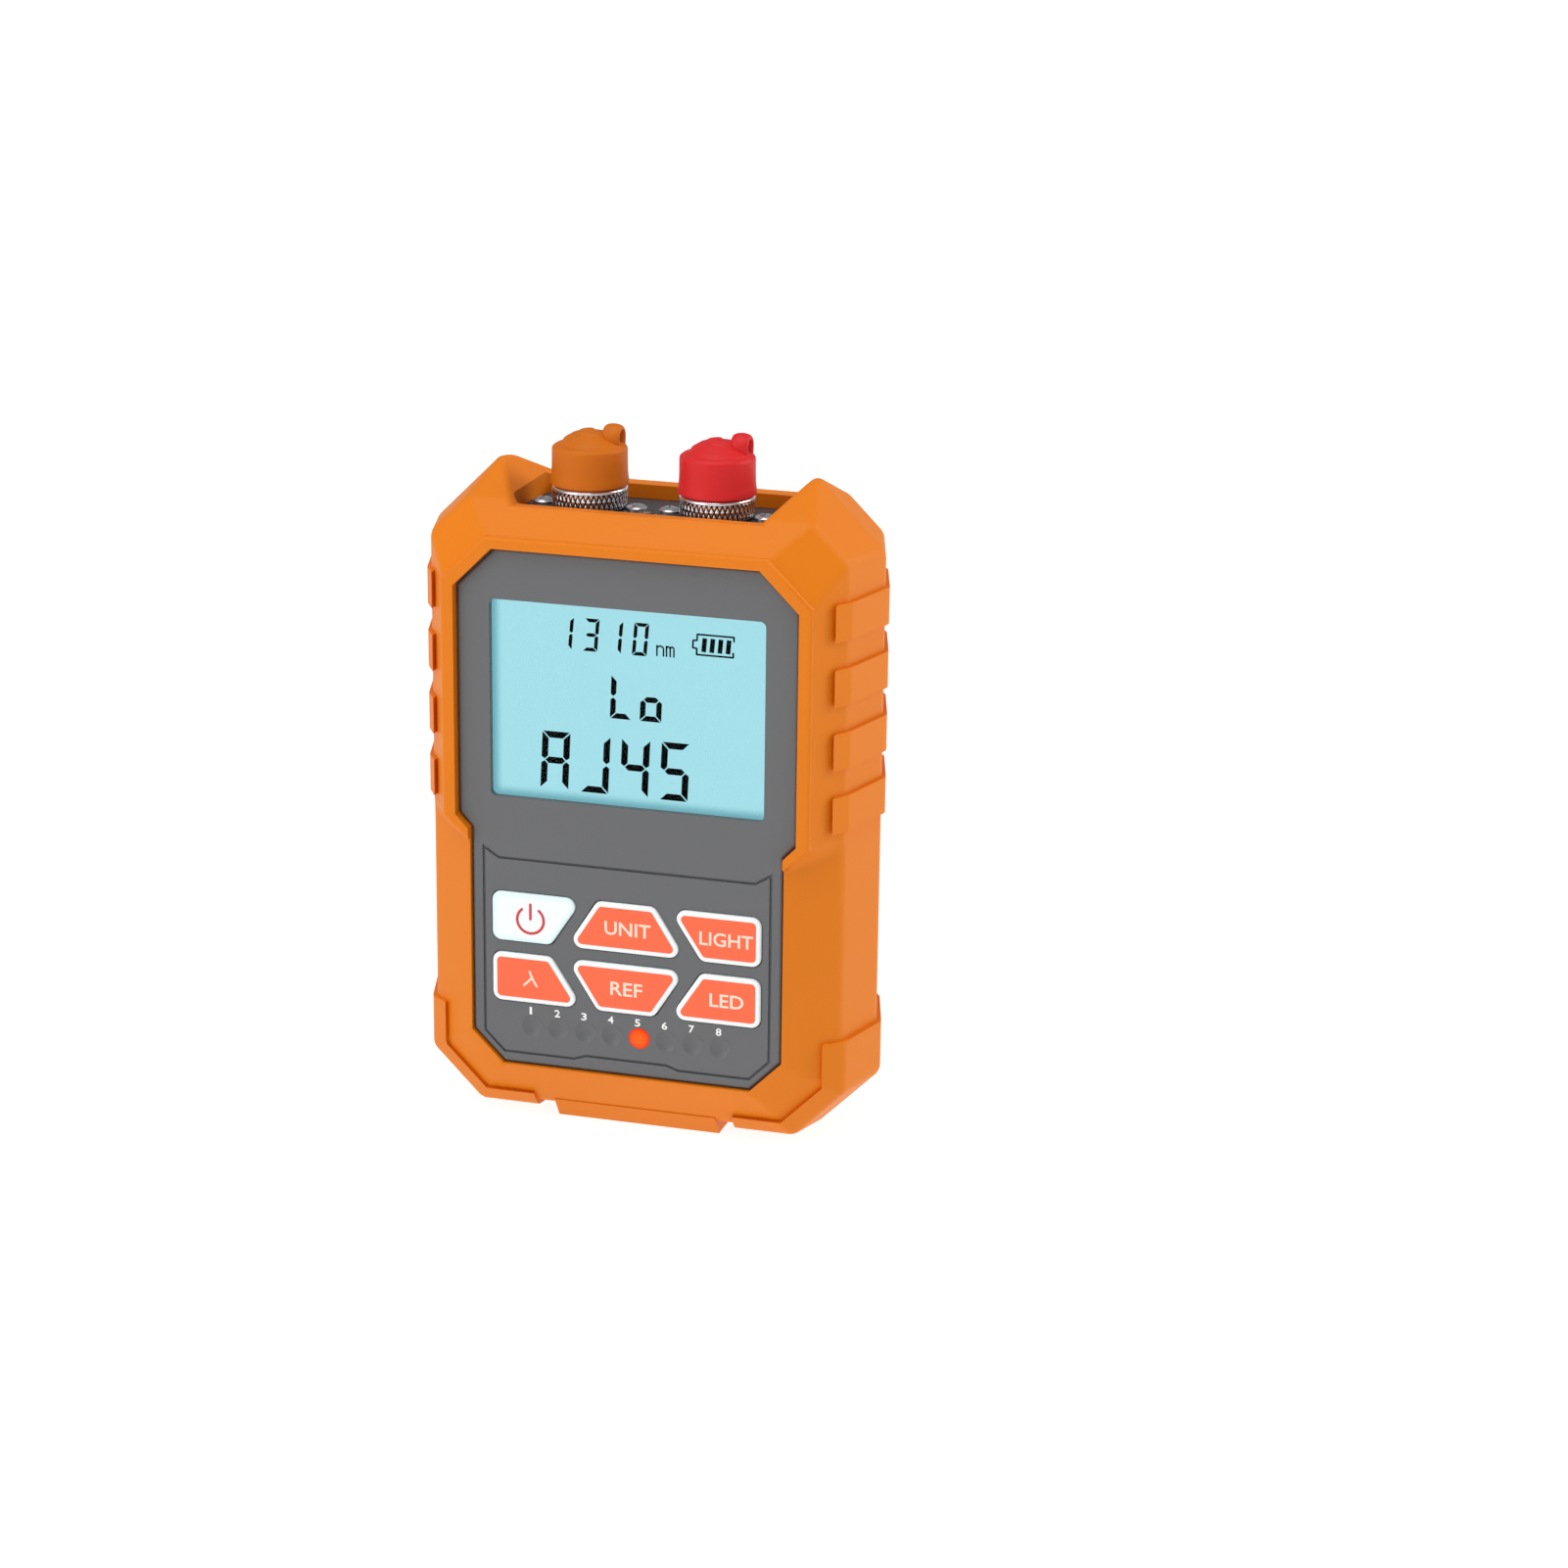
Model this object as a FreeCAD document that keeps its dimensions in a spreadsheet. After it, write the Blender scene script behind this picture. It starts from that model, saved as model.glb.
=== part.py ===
import FreeCAD, Part
import math
import os
import re
import Sketcher
from FreeCAD import Placement, Rotation, Vector

# Hand-held optical power meter in a rubber boot, standing upright on the boot's foot.
# Millimetres. X runs to the right of someone who reads the display, Y runs away from them, Z is up.
# The origin is under the middle of the boot, on the surface that the meter stands on.
# Heights in the sheet are counted from the middle of the face, face_centre above that surface.

SIZES = {
    # Rubber boot, outer form. Corner values are half-width plus height, where the corner is cut at 45 degrees
    "face_centre": 57.0,
    "boot_flare": 3.2,
    "boot_mid_top": 54.9,
    "boot_mid_bottom": 56.0,
    "boot_mid_corner_top": 81.0,
    "boot_mid_corner_bottom": 84.4,
    "boot_ridge_half": 35.2,
    "boot_ridge_top": 49.4,
    "boot_ridge_bottom": 54.3,
    "boot_ridge_corner_top": 78.4,
    "boot_ridge_corner_bottom": 81.4,
    "boot_ridge_depth": 11.3,
    "boot_foot_depth": 17.2,
    "boot_round": 3.0,
    "detail_round": 2.5,
    "horn_round": 1.6,
    "lip_width": 2.5,
    "lip_height": 1.0,
    "lip_low_width": 0.5,
    "lip_step_top": 3.0,
    "lip_step_bottom": 6.8,
    "bead_end_half": 28.0,
    "bead_end_bottom": 5.8,
    "bead_round": 0.55,
    "boot_rear_bottom": 49.9,
    "boot_rear_corner_bottom": 72.0,
    "rear_rim_width": 3.4,
    "window_gap": 0.3,
    "fit_gap": 0.15,
    "boot_wall": 2.6,
    "boot_mid_wall": 3.8,
    "boot_shoulder": 1.3,
    # Boot details
    "rib_proud": 0.7,
    "rib_height": 6.1,
    "rib_reach": 8,
    "rib_pitch": 10.65,
    "rib_first_top": 37.0,
    "rib_count": 4,
    "rib_front": 1.2,
    "pad_proud": 0.8,
    "pad_top": 37.5,
    "pad_band": 2.4,
    "pad_bottom_band": 2.1,
    "pad_end": 17.3,
    "tab_half": 14.1,
    "tab_depth": 9.7,
    "tab_root": 1.0,
    "horn_half": 20.6,
    "horn_floor": 48.5,
    "well_half": 21.9,
    "well_front": 10.3,
    "well_back": 9.3,
    "well_round": 2.5,
    "jack_opening_round": 1.1,
    "rear_window_half": 26.0,
    "rear_window_top": 38.0,
    "rear_window_bottom": 43.0,
    "rear_window_corner": 6.0,
    # Grey panel, the front of the case that shows in the boot
    "panel_depth": 16.8,
    "panel_half": 28.7,
    "panel_low_half": 26.5,
    "panel_top": 42.4,
    "panel_bottom": 45.5,
    "panel_corner_top": 64.7,
    "panel_corner_bottom": 66.7,
    "panel_step_top": 2.6,
    "panel_step_bottom": 4.9,
    "panel_shoulder": 0.8,
    # Case shells
    "case_wall": 1.8,
    "case_top": 46.0,
    "case_ridge_inset": 0.8,
    "lap_depth": 1.2,
    "overlap": 0.3,
    "rear_face": 16.9,
    "panel_edge_round": 0.5,
    # Display
    "lcd_half": 23.25,
    "lcd_top": 34.1,
    "lcd_bottom": 0.8,
    "lcd_corner": 1.0,
    "window_recess": 1.2,
    "window_thick": 0.8,
    "window_margin": 1.2,
    "lcd_thick": 2.2,
    "lcd_frame_thick": 3.0,
    "lcd_frame_wall": 0.8,
    "strip_end": 2.0,
    "strip_drop": 0.2,
    "strip_width": 0.8,
    # Key field
    "overlay_half": 24.8,
    "overlay_top": 9.5,
    "overlay_ear": 1.8,
    "overlay_ear_run": 2.9,
    "overlay_bottom": 43.9,
    "overlay_corner": 65.2,
    "overlay_notch": 0.7,
    "overlay_notch_half": 7.0,
    "overlay_notch_slope": 2.0,
    "groove_width": 0.45,
    "groove_depth": 0.4,
    "key_row_top": 15.5,
    "key_height": 8.5,
    "key_row_gap": 2.1,
    "key_outer": 23.1,
    "key_narrow": 4.9,
    "key_wide": 10.3,
    "key_side_long": 7.4,
    "key_side_short": 12.95,
    "key_corner": 1.55,
    "key_pad_inset": 1.3,
    "key_pad_corner": 0.4,
    "key_proud": 0.4,
    "key_soft": 0.3,
    "key_gap": 0.18,
    "key_travel": 0.8,
    "key_flange": 0.7,
    "key_flange_thick": 1.0,
    "key_flange_gap": 0.3,
    "mat_thick": 1.2,
    "dome_radius": 3.0,
    "dome_height": 0.5,
    # Lamps
    "lamp_count": 8,
    "lamp_pitch": 4.65,
    "lamp_row": 38.8,
    "lamp_radius": 1.7,
    "lamp_gap": 0.1,
    "lamp_recess": 0.35,
    "lamp_flange": 0.5,
    "lamp_foot": 1.0,
    "lamp_dish_radius": 3.8,
    "lamp_dish_depth": 0.35,
    # Main board
    "board_gap": 0.05,
    "board_corner": 6.0,
    "board_half": 24.8,
    "board_top": 41.2,
    "board_bottom": 45.4,
    "board_thick": 1.6,
    "board_screw_x": 16.0,
    "board_screw_low_x": 19.2,
    "board_screw_top": 39.2,
    "board_screw_bottom": 42.4,
    "post_radius": 2.1,
    "board_screw_radius": 1.0,
    "board_screw_head_radius": 1.8,
    "board_screw_head": 1.1,
    "board_screw_length": 4.2,
    "thread_gap": 0.02,
    # Case screws
    "boss_x": 27.3,
    "boss_top": 40.4,
    "boss_bottom": 44.0,
    "boss_radius": 2.8,
    "screw_radius": 1.3,
    "screw_head_radius": 2.2,
    "screw_head": 1.6,
    "screw_seat": 7.5,
    "screw_length": 12.0,
    "screw_gap": 0.1,
    # Port plate and ports
    "plate_half": 21.6,
    "plate_round": 1.5,
    "plate_front": 9.5,
    "plate_back": 8.5,
    "plate_proud": 0.3,
    "plate_flange": 1.0,
    "plate_flange_thick": 1.3,
    "port_x": 10.8,
    "port_y": 2.7,
    "flange_thick": 0.9,
    "flange_end_radius": 2.6,
    "flange_mid_radius": 6.6,
    "port_screw_x": 8.0,
    "port_screw_radius": 1.0,
    "port_screw_head": 1.75,
    "port_screw_dome": 1.1,
    "port_screw_length": 5.0,
    "port_gap": 0.1,
    "barrel_radius": 4.5,
    "barrel_tail": 5.0,
    "barrel_top": 56.8,
    "barrel_bevel": 0.4,
    "sleeve_radius": 6.2,
    "sleeve_top": 50.9,
    "sleeve_collar": 0.8,
    "sleeve_collar_inset": 0.25,
    "sleeve_bevel": 0.4,
    "sleeve_gap": 0.05,
    "ferrule_radius": 1.26,
    "ferrule_outer": 1.7,
    "ferrule_length": 10.5,
    "ferrule_inset": 0.3,
    # Caps
    "cap_radius": 6.2,
    "cap_rim_gap": 0.1,
    "cap_inner_gap": 0.08,
    "cap_top_gap": 0.2,
    "cap_rim_flare": 0.2,
    "cap_rim_height": 0.7,
    "cap_rim_blend": 0.9,
    "cap_round": 0.4,
    "cap_bulge": 0.3,
    "cap_crown": 3.0,
    "cap_roof": 3.1,
    "cap_crown_radius": 3.6,
    "ear_radius": 2.3,
    "ear_hole": 1.0,
    "ear_thick": 2.6,
    "ear_rise": 0.8,
    "ear_round": 0.8,
    "ear_x": 3.6,
    "ear_y": 1.0,
    # Inside the ports
    "can_radius": 4.1,
    "can_height": 4.2,
    "can_header": 0.6,
    "can_step": 0.6,
    "laser_radius": 4.4,
    "laser_length": 17.0,
    "laser_tail": 6.0,
    "laser_tail_radius": 3.5,
    "torch_y": 7.0,
    "torch_radius": 2.2,
    "torch_flange": 2.6,
    "torch_length": 6.0,
    "torch_flange_thick": 0.8,
    "torch_dome": 0.9,
    "torch_gap": 0.1,
    # Network jack
    "jack_centre": 15.1,
    "jack_width": 15.8,
    "jack_height": 12.6,
    "jack_length": 15.0,
    "jack_mouth_width": 11.9,
    "jack_mouth_height": 7.0,
    "jack_latch_width": 6.2,
    "jack_latch_height": 1.7,
    "jack_depth": 12.5,
    "jack_set_back": 1.8,
    "jack_opening_margin": 1.6,
    "jack_hole_gap": 0.2,
    "jack_hole_depth": 4.0,
    "jack_latch_depth": 8.8,
    "jack_foot_start": 6.0,
    "jack_foot_length": 4.5,
    "jack_foot_half": 2.0,
    "contact_pitch": 1.02,
    "contact_width": 0.45,
    "contact_count": 8,
    "contact_rise": 0.9,
    "contact_start": 3.8,
    "contact_peak": 10.6,
    "contact_end": 11.9,
    # Battery compartment
    "cell_radius": 5.2,
    "cell_length": 44.0,
    "cell_nub_radius": 1.9,
    "cell_nub": 0.9,
    "cell_count": 3,
    "cell_gap": 0.3,
    "bay_top": 11.6,
    "bay_wall": 1.2,
    "spring_room": 2.4,
    "spring_radius": 3.0,
    "spring_wire": 0.3,
    "spring_turns": 2.5,
    "spring_runs": 12,
    "spring_wire_sides": 8,
    "contact_plate": 0.4,
    "contact_plate_half": 4.2,
    "door_half": 20.5,
    "door_top": 15.4,
    "door_bottom": 38.6,
    "door_thick": 1.7,
    "door_gap": 0.25,
    "door_lip": 1.7,
    "hinge_pin": 0.9,
    "hinge_gap": 0.06,
    "hinge_knuckle": 5.0,
    "latch_width": 9.0,
    "latch_depth": 1.1,
    "door_corner": 0.5,
    "door_ledge": 1.0,
    "grip_depth": 0.35,
    "grip_width": 0.6,
    "grip_pitch": 1.3,
    "grip_top": 2.8,
    "grip_count": 4,
    # Parts on the board
    "buzzer_radius": 4.6,
    "buzzer_height": 4.2,
    "buzzer_z": 27.0,
    "buzzer_hole": 0.8,
    "chip_height": 1.2,
}

doc = FreeCAD.newDocument("optical_meter")
sheet = doc.addObject("Spreadsheet::Sheet", "Sizes")
for row, (alias, value) in enumerate(SIZES.items(), start=1):
    sheet.set(f"A{row}", str(value))
    sheet.setAlias(f"A{row}", alias)
doc.recompute()

FRONT_PLANE = Rotation(Vector(1, 0, 0), 90)
SIDE_PLANE = Rotation(Vector(0, 1, 0), Vector(0, 0, 1), Vector(1, 0, 0), "ZXY")
PLAN_PLANE = Rotation()
ROOT_TWO = 2 ** 0.5
FAR = "100"


# Small helpers that bind sizes to the sheet

def tied(text):
    """The expression with every name of the sheet written out in full."""
    return re.sub(r"[a-z_]+", lambda word: ("Sizes." if word[0] in SIZES else "") + word[0], text)


def size(text):
    """The number that an expression of sheet names gives now."""
    return float(sheet.evalExpression(tied(text)))


def bind(item, **paths):
    """Binds properties such as Length, or Placement_Base_x for Placement.Base.x."""
    for path, text in paths.items():
        item.setExpression(path.replace("_", "."), tied(text))
    return item


def up(text):
    """A height above the resting surface, from one above the face centre."""
    return f"face_centre + ({text})"


def place(item, x="0", y="0", z="0"):
    return bind(item, Placement_Base_x=x, Placement_Base_y=y, Placement_Base_z=z)


def sketch(name, plane, points, x="0", y="0", z="0", holes=()):
    """A closed polygon, or several, whose corners are bound to the sheet."""
    drawn = doc.addObject("Sketcher::SketchObject", name)
    drawn.Placement = Placement(Vector(), plane)
    place(drawn, x, y, z)
    first = 0
    for loop in (points, *holes):
        spots = [Vector(size(a), size(b), 0) for a, b in loop]
        count = len(spots)
        for i in range(count):
            drawn.addGeometry(Part.LineSegment(spots[i], spots[(i + 1) % count]))
        for i in range(count):
            drawn.addConstraint(Sketcher.Constraint("Coincident", first + i, 2, first + (i + 1) % count, 1))
        for i, (across, along) in enumerate(loop):
            for kind, axis, text, value in (
                ("DistanceX", -2, across, spots[i].x),
                ("DistanceY", -1, along, spots[i].y),
            ):
                if text == "0":
                    drawn.addConstraint(Sketcher.Constraint("PointOnObject", first + i, 1, axis))
                else:
                    index = drawn.addConstraint(Sketcher.Constraint(kind, -1, 1, first + i, 1, value))
                    drawn.setExpression(f"Constraints[{index}]", tied(text))
        first += count
    return drawn


def loft(name, sections):
    made = doc.addObject("Part::Loft", name)
    made.Sections = sections
    made.Solid = True
    made.Ruled = True
    return made


def extrude(name, profile, direction, length):
    made = doc.addObject("Part::Extrusion", name)
    made.Base = profile
    made.DirMode = "Custom"
    made.Dir = direction
    made.Solid = True
    return bind(made, LengthFwd=length)


def prism(name, points, front, back, holes=(), z="face_centre"):
    """A polygon of the front view, carried from one depth to another."""
    profile = sketch(name + "_outline", FRONT_PLANE, points, y=front, z=z, holes=holes)
    return extrude(name, profile, Vector(0, 1, 0), f"({back}) - ({front})")


def plan_prism(name, points, low, high):
    """A polygon seen from above, carried from one height to another."""
    profile = sketch(name + "_outline", PLAN_PLANE, points, z=low)
    return extrude(name, profile, Vector(0, 0, 1), f"({high}) - ({low})")


def side_prism(name, points, left, right, z="face_centre"):
    """A polygon seen from the side, carried from left to right."""
    profile = sketch(name + "_outline", SIDE_PLANE, points, x=left, z=z)
    return extrude(name, profile, Vector(1, 0, 0), f"({right}) - ({left})")


def box(name, x, y, z):
    """A block from its low and high limits on each axis."""
    made = doc.addObject("Part::Box", name)
    place(made, x[0], y[0], z[0])
    return bind(
        made,
        Length=f"({x[1]}) - ({x[0]})",
        Width=f"({y[1]}) - ({y[0]})",
        Height=f"({z[1]}) - ({z[0]})",
    )


def rod(name, radius, length, x="0", y="0", z="0", axis="z"):
    made = doc.addObject("Part::Cylinder", name)
    turns = {
        "z": Rotation(),
        "y": Rotation(Vector(1, 0, 0), -90),
        "x": Rotation(Vector(0, 1, 0), 90),
    }
    made.Placement = Placement(Vector(), turns[axis])
    place(made, x, y, z)
    return bind(made, Radius=radius, Height=length)


def revolve(name, profile, x="0", y="0", z="0"):
    """A profile of radius and height turned about a vertical axis."""
    made = doc.addObject("Part::Revolution", name)
    made.Source = sketch(name + "_profile", FRONT_PLANE, profile)
    made.Axis = Vector(0, 0, 1)
    made.Base = Vector(0, 0, 0)
    made.Angle = 360
    made.Solid = True
    return place(made, x, y, z)


def fuse(name, *pieces):
    made = doc.addObject("Part::MultiFuse", name)
    made.Shapes = list(pieces)
    made.Refine = True
    return made


def cut(name, base, *tools):
    made = doc.addObject("Part::Cut", name)
    made.Base = base
    made.Tool = tools[0] if len(tools) == 1 else group(name + "_tools", *tools)
    made.Refine = True
    return made


def common(name, *pieces):
    made = doc.addObject("Part::MultiCommon", name)
    made.Shapes = list(pieces)
    return made


def group(name, *pieces):
    """Separate solids kept together in one object."""
    made = doc.addObject("Part::Compound", name)
    made.Links = list(pieces)
    return made


def fillet(name, base, radius, chosen):
    """Rounds the edges that chosen(edge) picks; the radius is read from the sheet."""
    doc.recompute()
    made = doc.addObject("Part::Fillet", name)
    made.Base = base
    value = size(radius)
    made.Edges = [(i, value, value) for i, edge in enumerate(base.Shape.Edges, start=1) if chosen(edge)]
    return made


def mirror_x(name, base):
    made = doc.addObject("Part::Mirroring", name)
    made.Source = base
    made.Normal = Vector(1, 0, 0)
    return made


def direction(edge):
    ends = edge.Vertexes
    line = ends[-1].Point - ends[0].Point
    return line.normalize() if line.Length > 0 else line


def corners(edge):
    return [vertex.Point for vertex in edge.Vertexes]


def near(value, target):
    return abs(value - target) < 0.01


def along_depth(edge):
    return len(edge.Vertexes) == 2 and abs(direction(edge).y) > 0.999


def upright(edge):
    return len(edge.Vertexes) == 2 and abs(direction(edge).z) > 0.999


def at_depth(text):
    """A choice of the edges that lie wholly at one depth."""
    depth = size(text)
    return lambda edge: all(near(spot.y, depth) for spot in corners(edge))


def both_sides(right_half):
    """A closed outline from its right half, listed from the top down."""
    left_half = [(f"-({x})", z) for x, z in reversed(right_half)]
    return right_half + left_half


def outline(half, top, corner_top, bottom, corner_bottom, inset="0", low_half=None, step=None):
    """An upright rectangle with its corners cut at 45 degrees, every edge moved in by inset.

    low_half and step give the narrower lower part and the two heights of the slant between."""
    low = low_half or half
    diagonal = f"({inset}) * {ROOT_TWO}"
    right = [
        (f"({corner_top}) - ({top}) - {diagonal} + ({inset})", f"{top} - ({inset})"),
        (f"{half} - ({inset})", f"({corner_top}) - ({half}) - {diagonal} + ({inset})"),
    ]
    if step:
        right.append((f"{half} - ({inset})", f"-({step[0]})"))
        right.append((f"{low} - ({inset})", f"-({step[1]})"))
    right.append((f"{low} - ({inset})", f"-(({corner_bottom}) - ({low}) - {diagonal} + ({inset}))"))
    right.append((f"({corner_bottom}) - ({bottom}) - {diagonal} + ({inset})", f"-(({bottom}) - ({inset}))"))
    return both_sides(right)


STEP = ("panel_step_top", "panel_step_bottom")
BOOT_MID_HALF = "(boot_ridge_half + boot_flare)"


def panel_outline(inset="0"):
    """The outline of the grey panel in the boot."""
    return outline(
        "panel_half", "panel_top", "panel_corner_top", "panel_bottom", "panel_corner_bottom",
        inset, "panel_low_half", STEP,
    )


def ridge_outline(inset="0", top="boot_ridge_top"):
    """The boot's outline where its bevel meets its flared side."""
    return outline(
        "boot_ridge_half", top, "boot_ridge_corner_top", "boot_ridge_bottom", "boot_ridge_corner_bottom",
        inset, "boot_ridge_half", STEP,
    )


def mid_outline(inset="0", top="boot_mid_top"):
    """The boot's widest outline, half-way through its depth."""
    return outline(
        BOOT_MID_HALF, top, "boot_mid_corner_top", "boot_mid_bottom", "boot_mid_corner_bottom",
        inset, BOOT_MID_HALF, STEP,
    )


def foot_outline(inset="0"):
    """Where the boot's bevel starts: a lip's width outside the panel above the step, at its edge below."""
    return outline(
        "panel_half + lip_width", "panel_top + lip_width - window_gap",
        f"panel_corner_top + lip_width * {ROOT_TWO}",
        "panel_bottom + lip_low_width", f"panel_corner_bottom + lip_low_width * {ROOT_TWO}",
        inset, "panel_low_half + lip_low_width", ("lip_step_top", "lip_step_bottom"),
    )


def rear_outline(inset="0"):
    """The boot's outline at its back, with no step."""
    return outline(
        "panel_half + lip_width", "panel_top + lip_width - window_gap",
        f"panel_corner_top + lip_width * {ROOT_TWO}",
        "boot_rear_bottom", "boot_rear_corner_bottom",
        inset, "panel_half + lip_width", STEP,
    )


def rear_window(inset="0"):
    """The window in the boot's back."""
    return outline(
        "rear_window_half", "rear_window_top", "rear_window_half + rear_window_top - rear_window_corner",
        "rear_window_bottom", "rear_window_half + rear_window_bottom - rear_window_corner", inset,
    )


def skin(name, proud, radius):
    """The boot's outer form, moved out by proud, all edges rounded but those of its front and back faces."""
    out = f"-({proud})"
    sharp = loft(name + "_sharp", [
        sketch(name + "_front", FRONT_PLANE, foot_outline(out),
               y=f"-boot_foot_depth - ({proud})", z="face_centre"),
        sketch(name + "_front_ridge", FRONT_PLANE, ridge_outline(out),
               y="-boot_ridge_depth", z="face_centre"),
        sketch(name + "_middle", FRONT_PLANE, mid_outline(out), y="0", z="face_centre"),
        sketch(name + "_back_ridge", FRONT_PLANE, ridge_outline(out), y="boot_ridge_depth", z="face_centre"),
        sketch(name + "_back", FRONT_PLANE, rear_outline(out),
               y=f"boot_foot_depth + ({proud})", z="face_centre"),
    ])
    face = size(f"boot_foot_depth + ({proud})")
    return fillet(
        name, sharp, radius, lambda edge: not all(near(abs(spot.y), face) for spot in corners(edge)),
    )


SHOULDER = "(boot_foot_depth - boot_shoulder)"
CASE_RIDGE = "(boot_ridge_depth - case_ridge_inset)"


def case_form(name, inset, side):
    """Half of the case's closed form, between the parting line and its panel; inset moves every wall in.

    side is -1 for the front shell and 1 for the rear shell."""
    ridge = ridge_outline(f"boot_wall + ({inset})", f"case_top + boot_wall")
    middle = mid_outline(f"boot_mid_wall + ({inset})", f"case_top + boot_mid_wall")
    shoulder = panel_outline(f"({inset}) - panel_shoulder")
    if side > 0:
        shoulder = rear_outline(f"boot_wall + ({inset})")
    sign = "-" if side < 0 else ""
    return loft(name, [
        sketch(name + "_middle", FRONT_PLANE, middle, y="0", z="face_centre"),
        sketch(name + "_ridge", FRONT_PLANE, ridge, y=f"{sign}{CASE_RIDGE}", z="face_centre"),
        sketch(name + "_shoulder", FRONT_PLANE, shoulder,
               y=f"{sign}({SHOULDER} - ({inset}))", z="face_centre"),
    ])


# Rubber boot

def rib_block(index, side):
    """The space of one side rib, from the bevel round to the back."""
    top = f"rib_first_top - {index} * rib_pitch"
    near = "boot_ridge_half - rib_front"
    limits = (near, FAR) if side > 0 else (f"-{FAR}", f"-({near})")
    return box(
        f"rib_block_{index}_{'right' if side > 0 else 'left'}",
        limits, ("-boot_foot_depth", "boot_foot_depth"), (up(f"{top} - rib_height"), up(top)),
    )


def pad_block():
    """The space of a bottom corner pad: all outside a line that runs inside the corner."""
    inner = "boot_ridge_half - pad_band"
    corner = f"boot_ridge_corner_bottom - pad_band * {ROOT_TWO}"
    bottom = "boot_ridge_bottom - pad_bottom_band"
    return prism("pad_block", [
        (FAR, "-pad_top"),
        (inner, "-pad_top"),
        (inner, f"-({corner} - ({inner}))"),
        (f"{corner} - ({bottom})", f"-({bottom})"),
        ("pad_end", f"-({bottom})"),
        ("pad_end", f"-{FAR}"),
        (FAR, f"-{FAR}"),
    ], "-boot_foot_depth", "boot_foot_depth")


def bead():
    """The raised lip round the upper part of the panel; it runs out under the step."""
    outer = [
        (f"panel_corner_top + lip_width * {ROOT_TWO} - panel_top - lip_width + window_gap",
         "panel_top + lip_width - window_gap"),
        ("panel_half + lip_width", f"panel_corner_top + lip_width * {ROOT_TWO} - panel_half - lip_width"),
        ("panel_half + lip_width", "-lip_step_top"),
        ("bead_end_half", "-bead_end_bottom"),
        ("panel_low_half + window_gap", "-lip_step_bottom"),
    ]
    band = prism(
        "bead_band", both_sides(outer), "-boot_foot_depth - lip_height", "-boot_foot_depth + overlap",
    )
    return fillet("bead_rounded", band, "bead_round", on_bead_front)


def on_bead_front(edge):
    front = -size("boot_foot_depth + lip_height")
    bottom = size("face_centre - panel_step_bottom")
    spots = corners(edge)
    return all(near(spot.y, front) for spot in spots) and max(spot.z for spot in spots) > bottom


def on_horn_slope(edge):
    """True on the notch's two slants, but not on its floor."""
    foot = size("face_centre + horn_floor - horn_half")
    floor = size("face_centre + horn_floor")
    spots = corners(edge)
    on_slope = all(near(spot.z - abs(spot.x), foot) for spot in spots)
    return on_slope and not all(near(spot.z, floor) for spot in spots)


def rear_bead():
    """The flat rim round the back window."""
    return prism(
        "rear_bead_band", rear_window("-rear_rim_width"),
        "boot_foot_depth - overlap", "boot_foot_depth + lip_height",
    )


def rubber_boot():
    """The moulded boot round the two case shells, open to the front, the back, the ports and the socket."""
    notch = prism("boot_notch", both_sides([
        (f"horn_half + {FAR}", f"horn_floor + {FAR}"),
        ("horn_half", "horn_floor"),
    ]), f"-{FAR}", FAR)
    shell = fillet(
        "boot_shell", cut("boot_notched", skin("boot_skin", "0", "boot_round"), notch),
        "horn_round", on_horn_slope,
    )
    sides = [(i, side) for i in range(int(size("rib_count"))) for side in (1, -1)]
    ribs = common(
        "boot_ribs", skin("rib_skin", "rib_proud", "detail_round"),
        group("rib_blocks", *[rib_block(i, side) for i, side in sides]),
    )
    right_pad = common("pad_right", skin("pad_skin", "pad_proud", "detail_round"), pad_block())
    left_pad = mirror_x("pad_left", right_pad)
    slope_y = "(boot_ridge_bottom - panel_bottom) / (boot_foot_depth - boot_ridge_depth)"
    start = f"tab_depth + (face_centre - boot_ridge_bottom + tab_root) / ({slope_y})"
    tab = side_prism("boot_tab", [
        (f"-({start})", "-boot_ridge_bottom + tab_root"),
        ("-tab_depth", "-face_centre"),
        ("tab_depth", "-face_centre"),
        (start, "-boot_ridge_bottom + tab_root"),
    ], "-tab_half", "tab_half")
    whole = fuse("boot_whole", shell, ribs, right_pad, left_pad, tab, bead(), rear_bead())
    well_block = box(
        "well_block", ("-well_half", "well_half"), ("-well_front", "well_back"),
        (up("case_top - overlap"), up(FAR)),
    )
    well = fillet("boot_well", well_block, "well_round", upright)
    inner = fuse(
        "boot_inner",
        case_form("boot_inner_front", "-fit_gap", -1), case_form("boot_inner_rear", "-fit_gap", 1),
    )
    front_window = prism("boot_front_window", panel_outline("-window_gap"), f"-{FAR}", "-boot_ridge_depth")
    back_window = prism("boot_back_window", rear_window(), "boot_ridge_depth", FAR)
    jack_hole = jack_opening("boot_jack_hole", "jack_opening_margin")
    return cut("rubber_boot", whole, well, inner, front_window, back_window, jack_hole)


def jack_opening(name, margin):
    """A way in from the left to the network jack, margin wider than its housing's mouth on every side."""
    half = f"jack_mouth_width / 2 + ({margin})"
    top = f"-jack_centre + jack_mouth_height / 2 + jack_latch_height + ({margin})"
    bottom = f"-jack_centre - jack_mouth_height / 2 - ({margin})"
    block = box(
        name + "_block", (f"-{FAR}", "-boot_ridge_half + rib_reach"), (f"-({half})", half),
        (up(bottom), up(top)),
    )
    return fillet(name, block, "jack_opening_round", lambda edge: abs(direction(edge).x) > 0.999)


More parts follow.
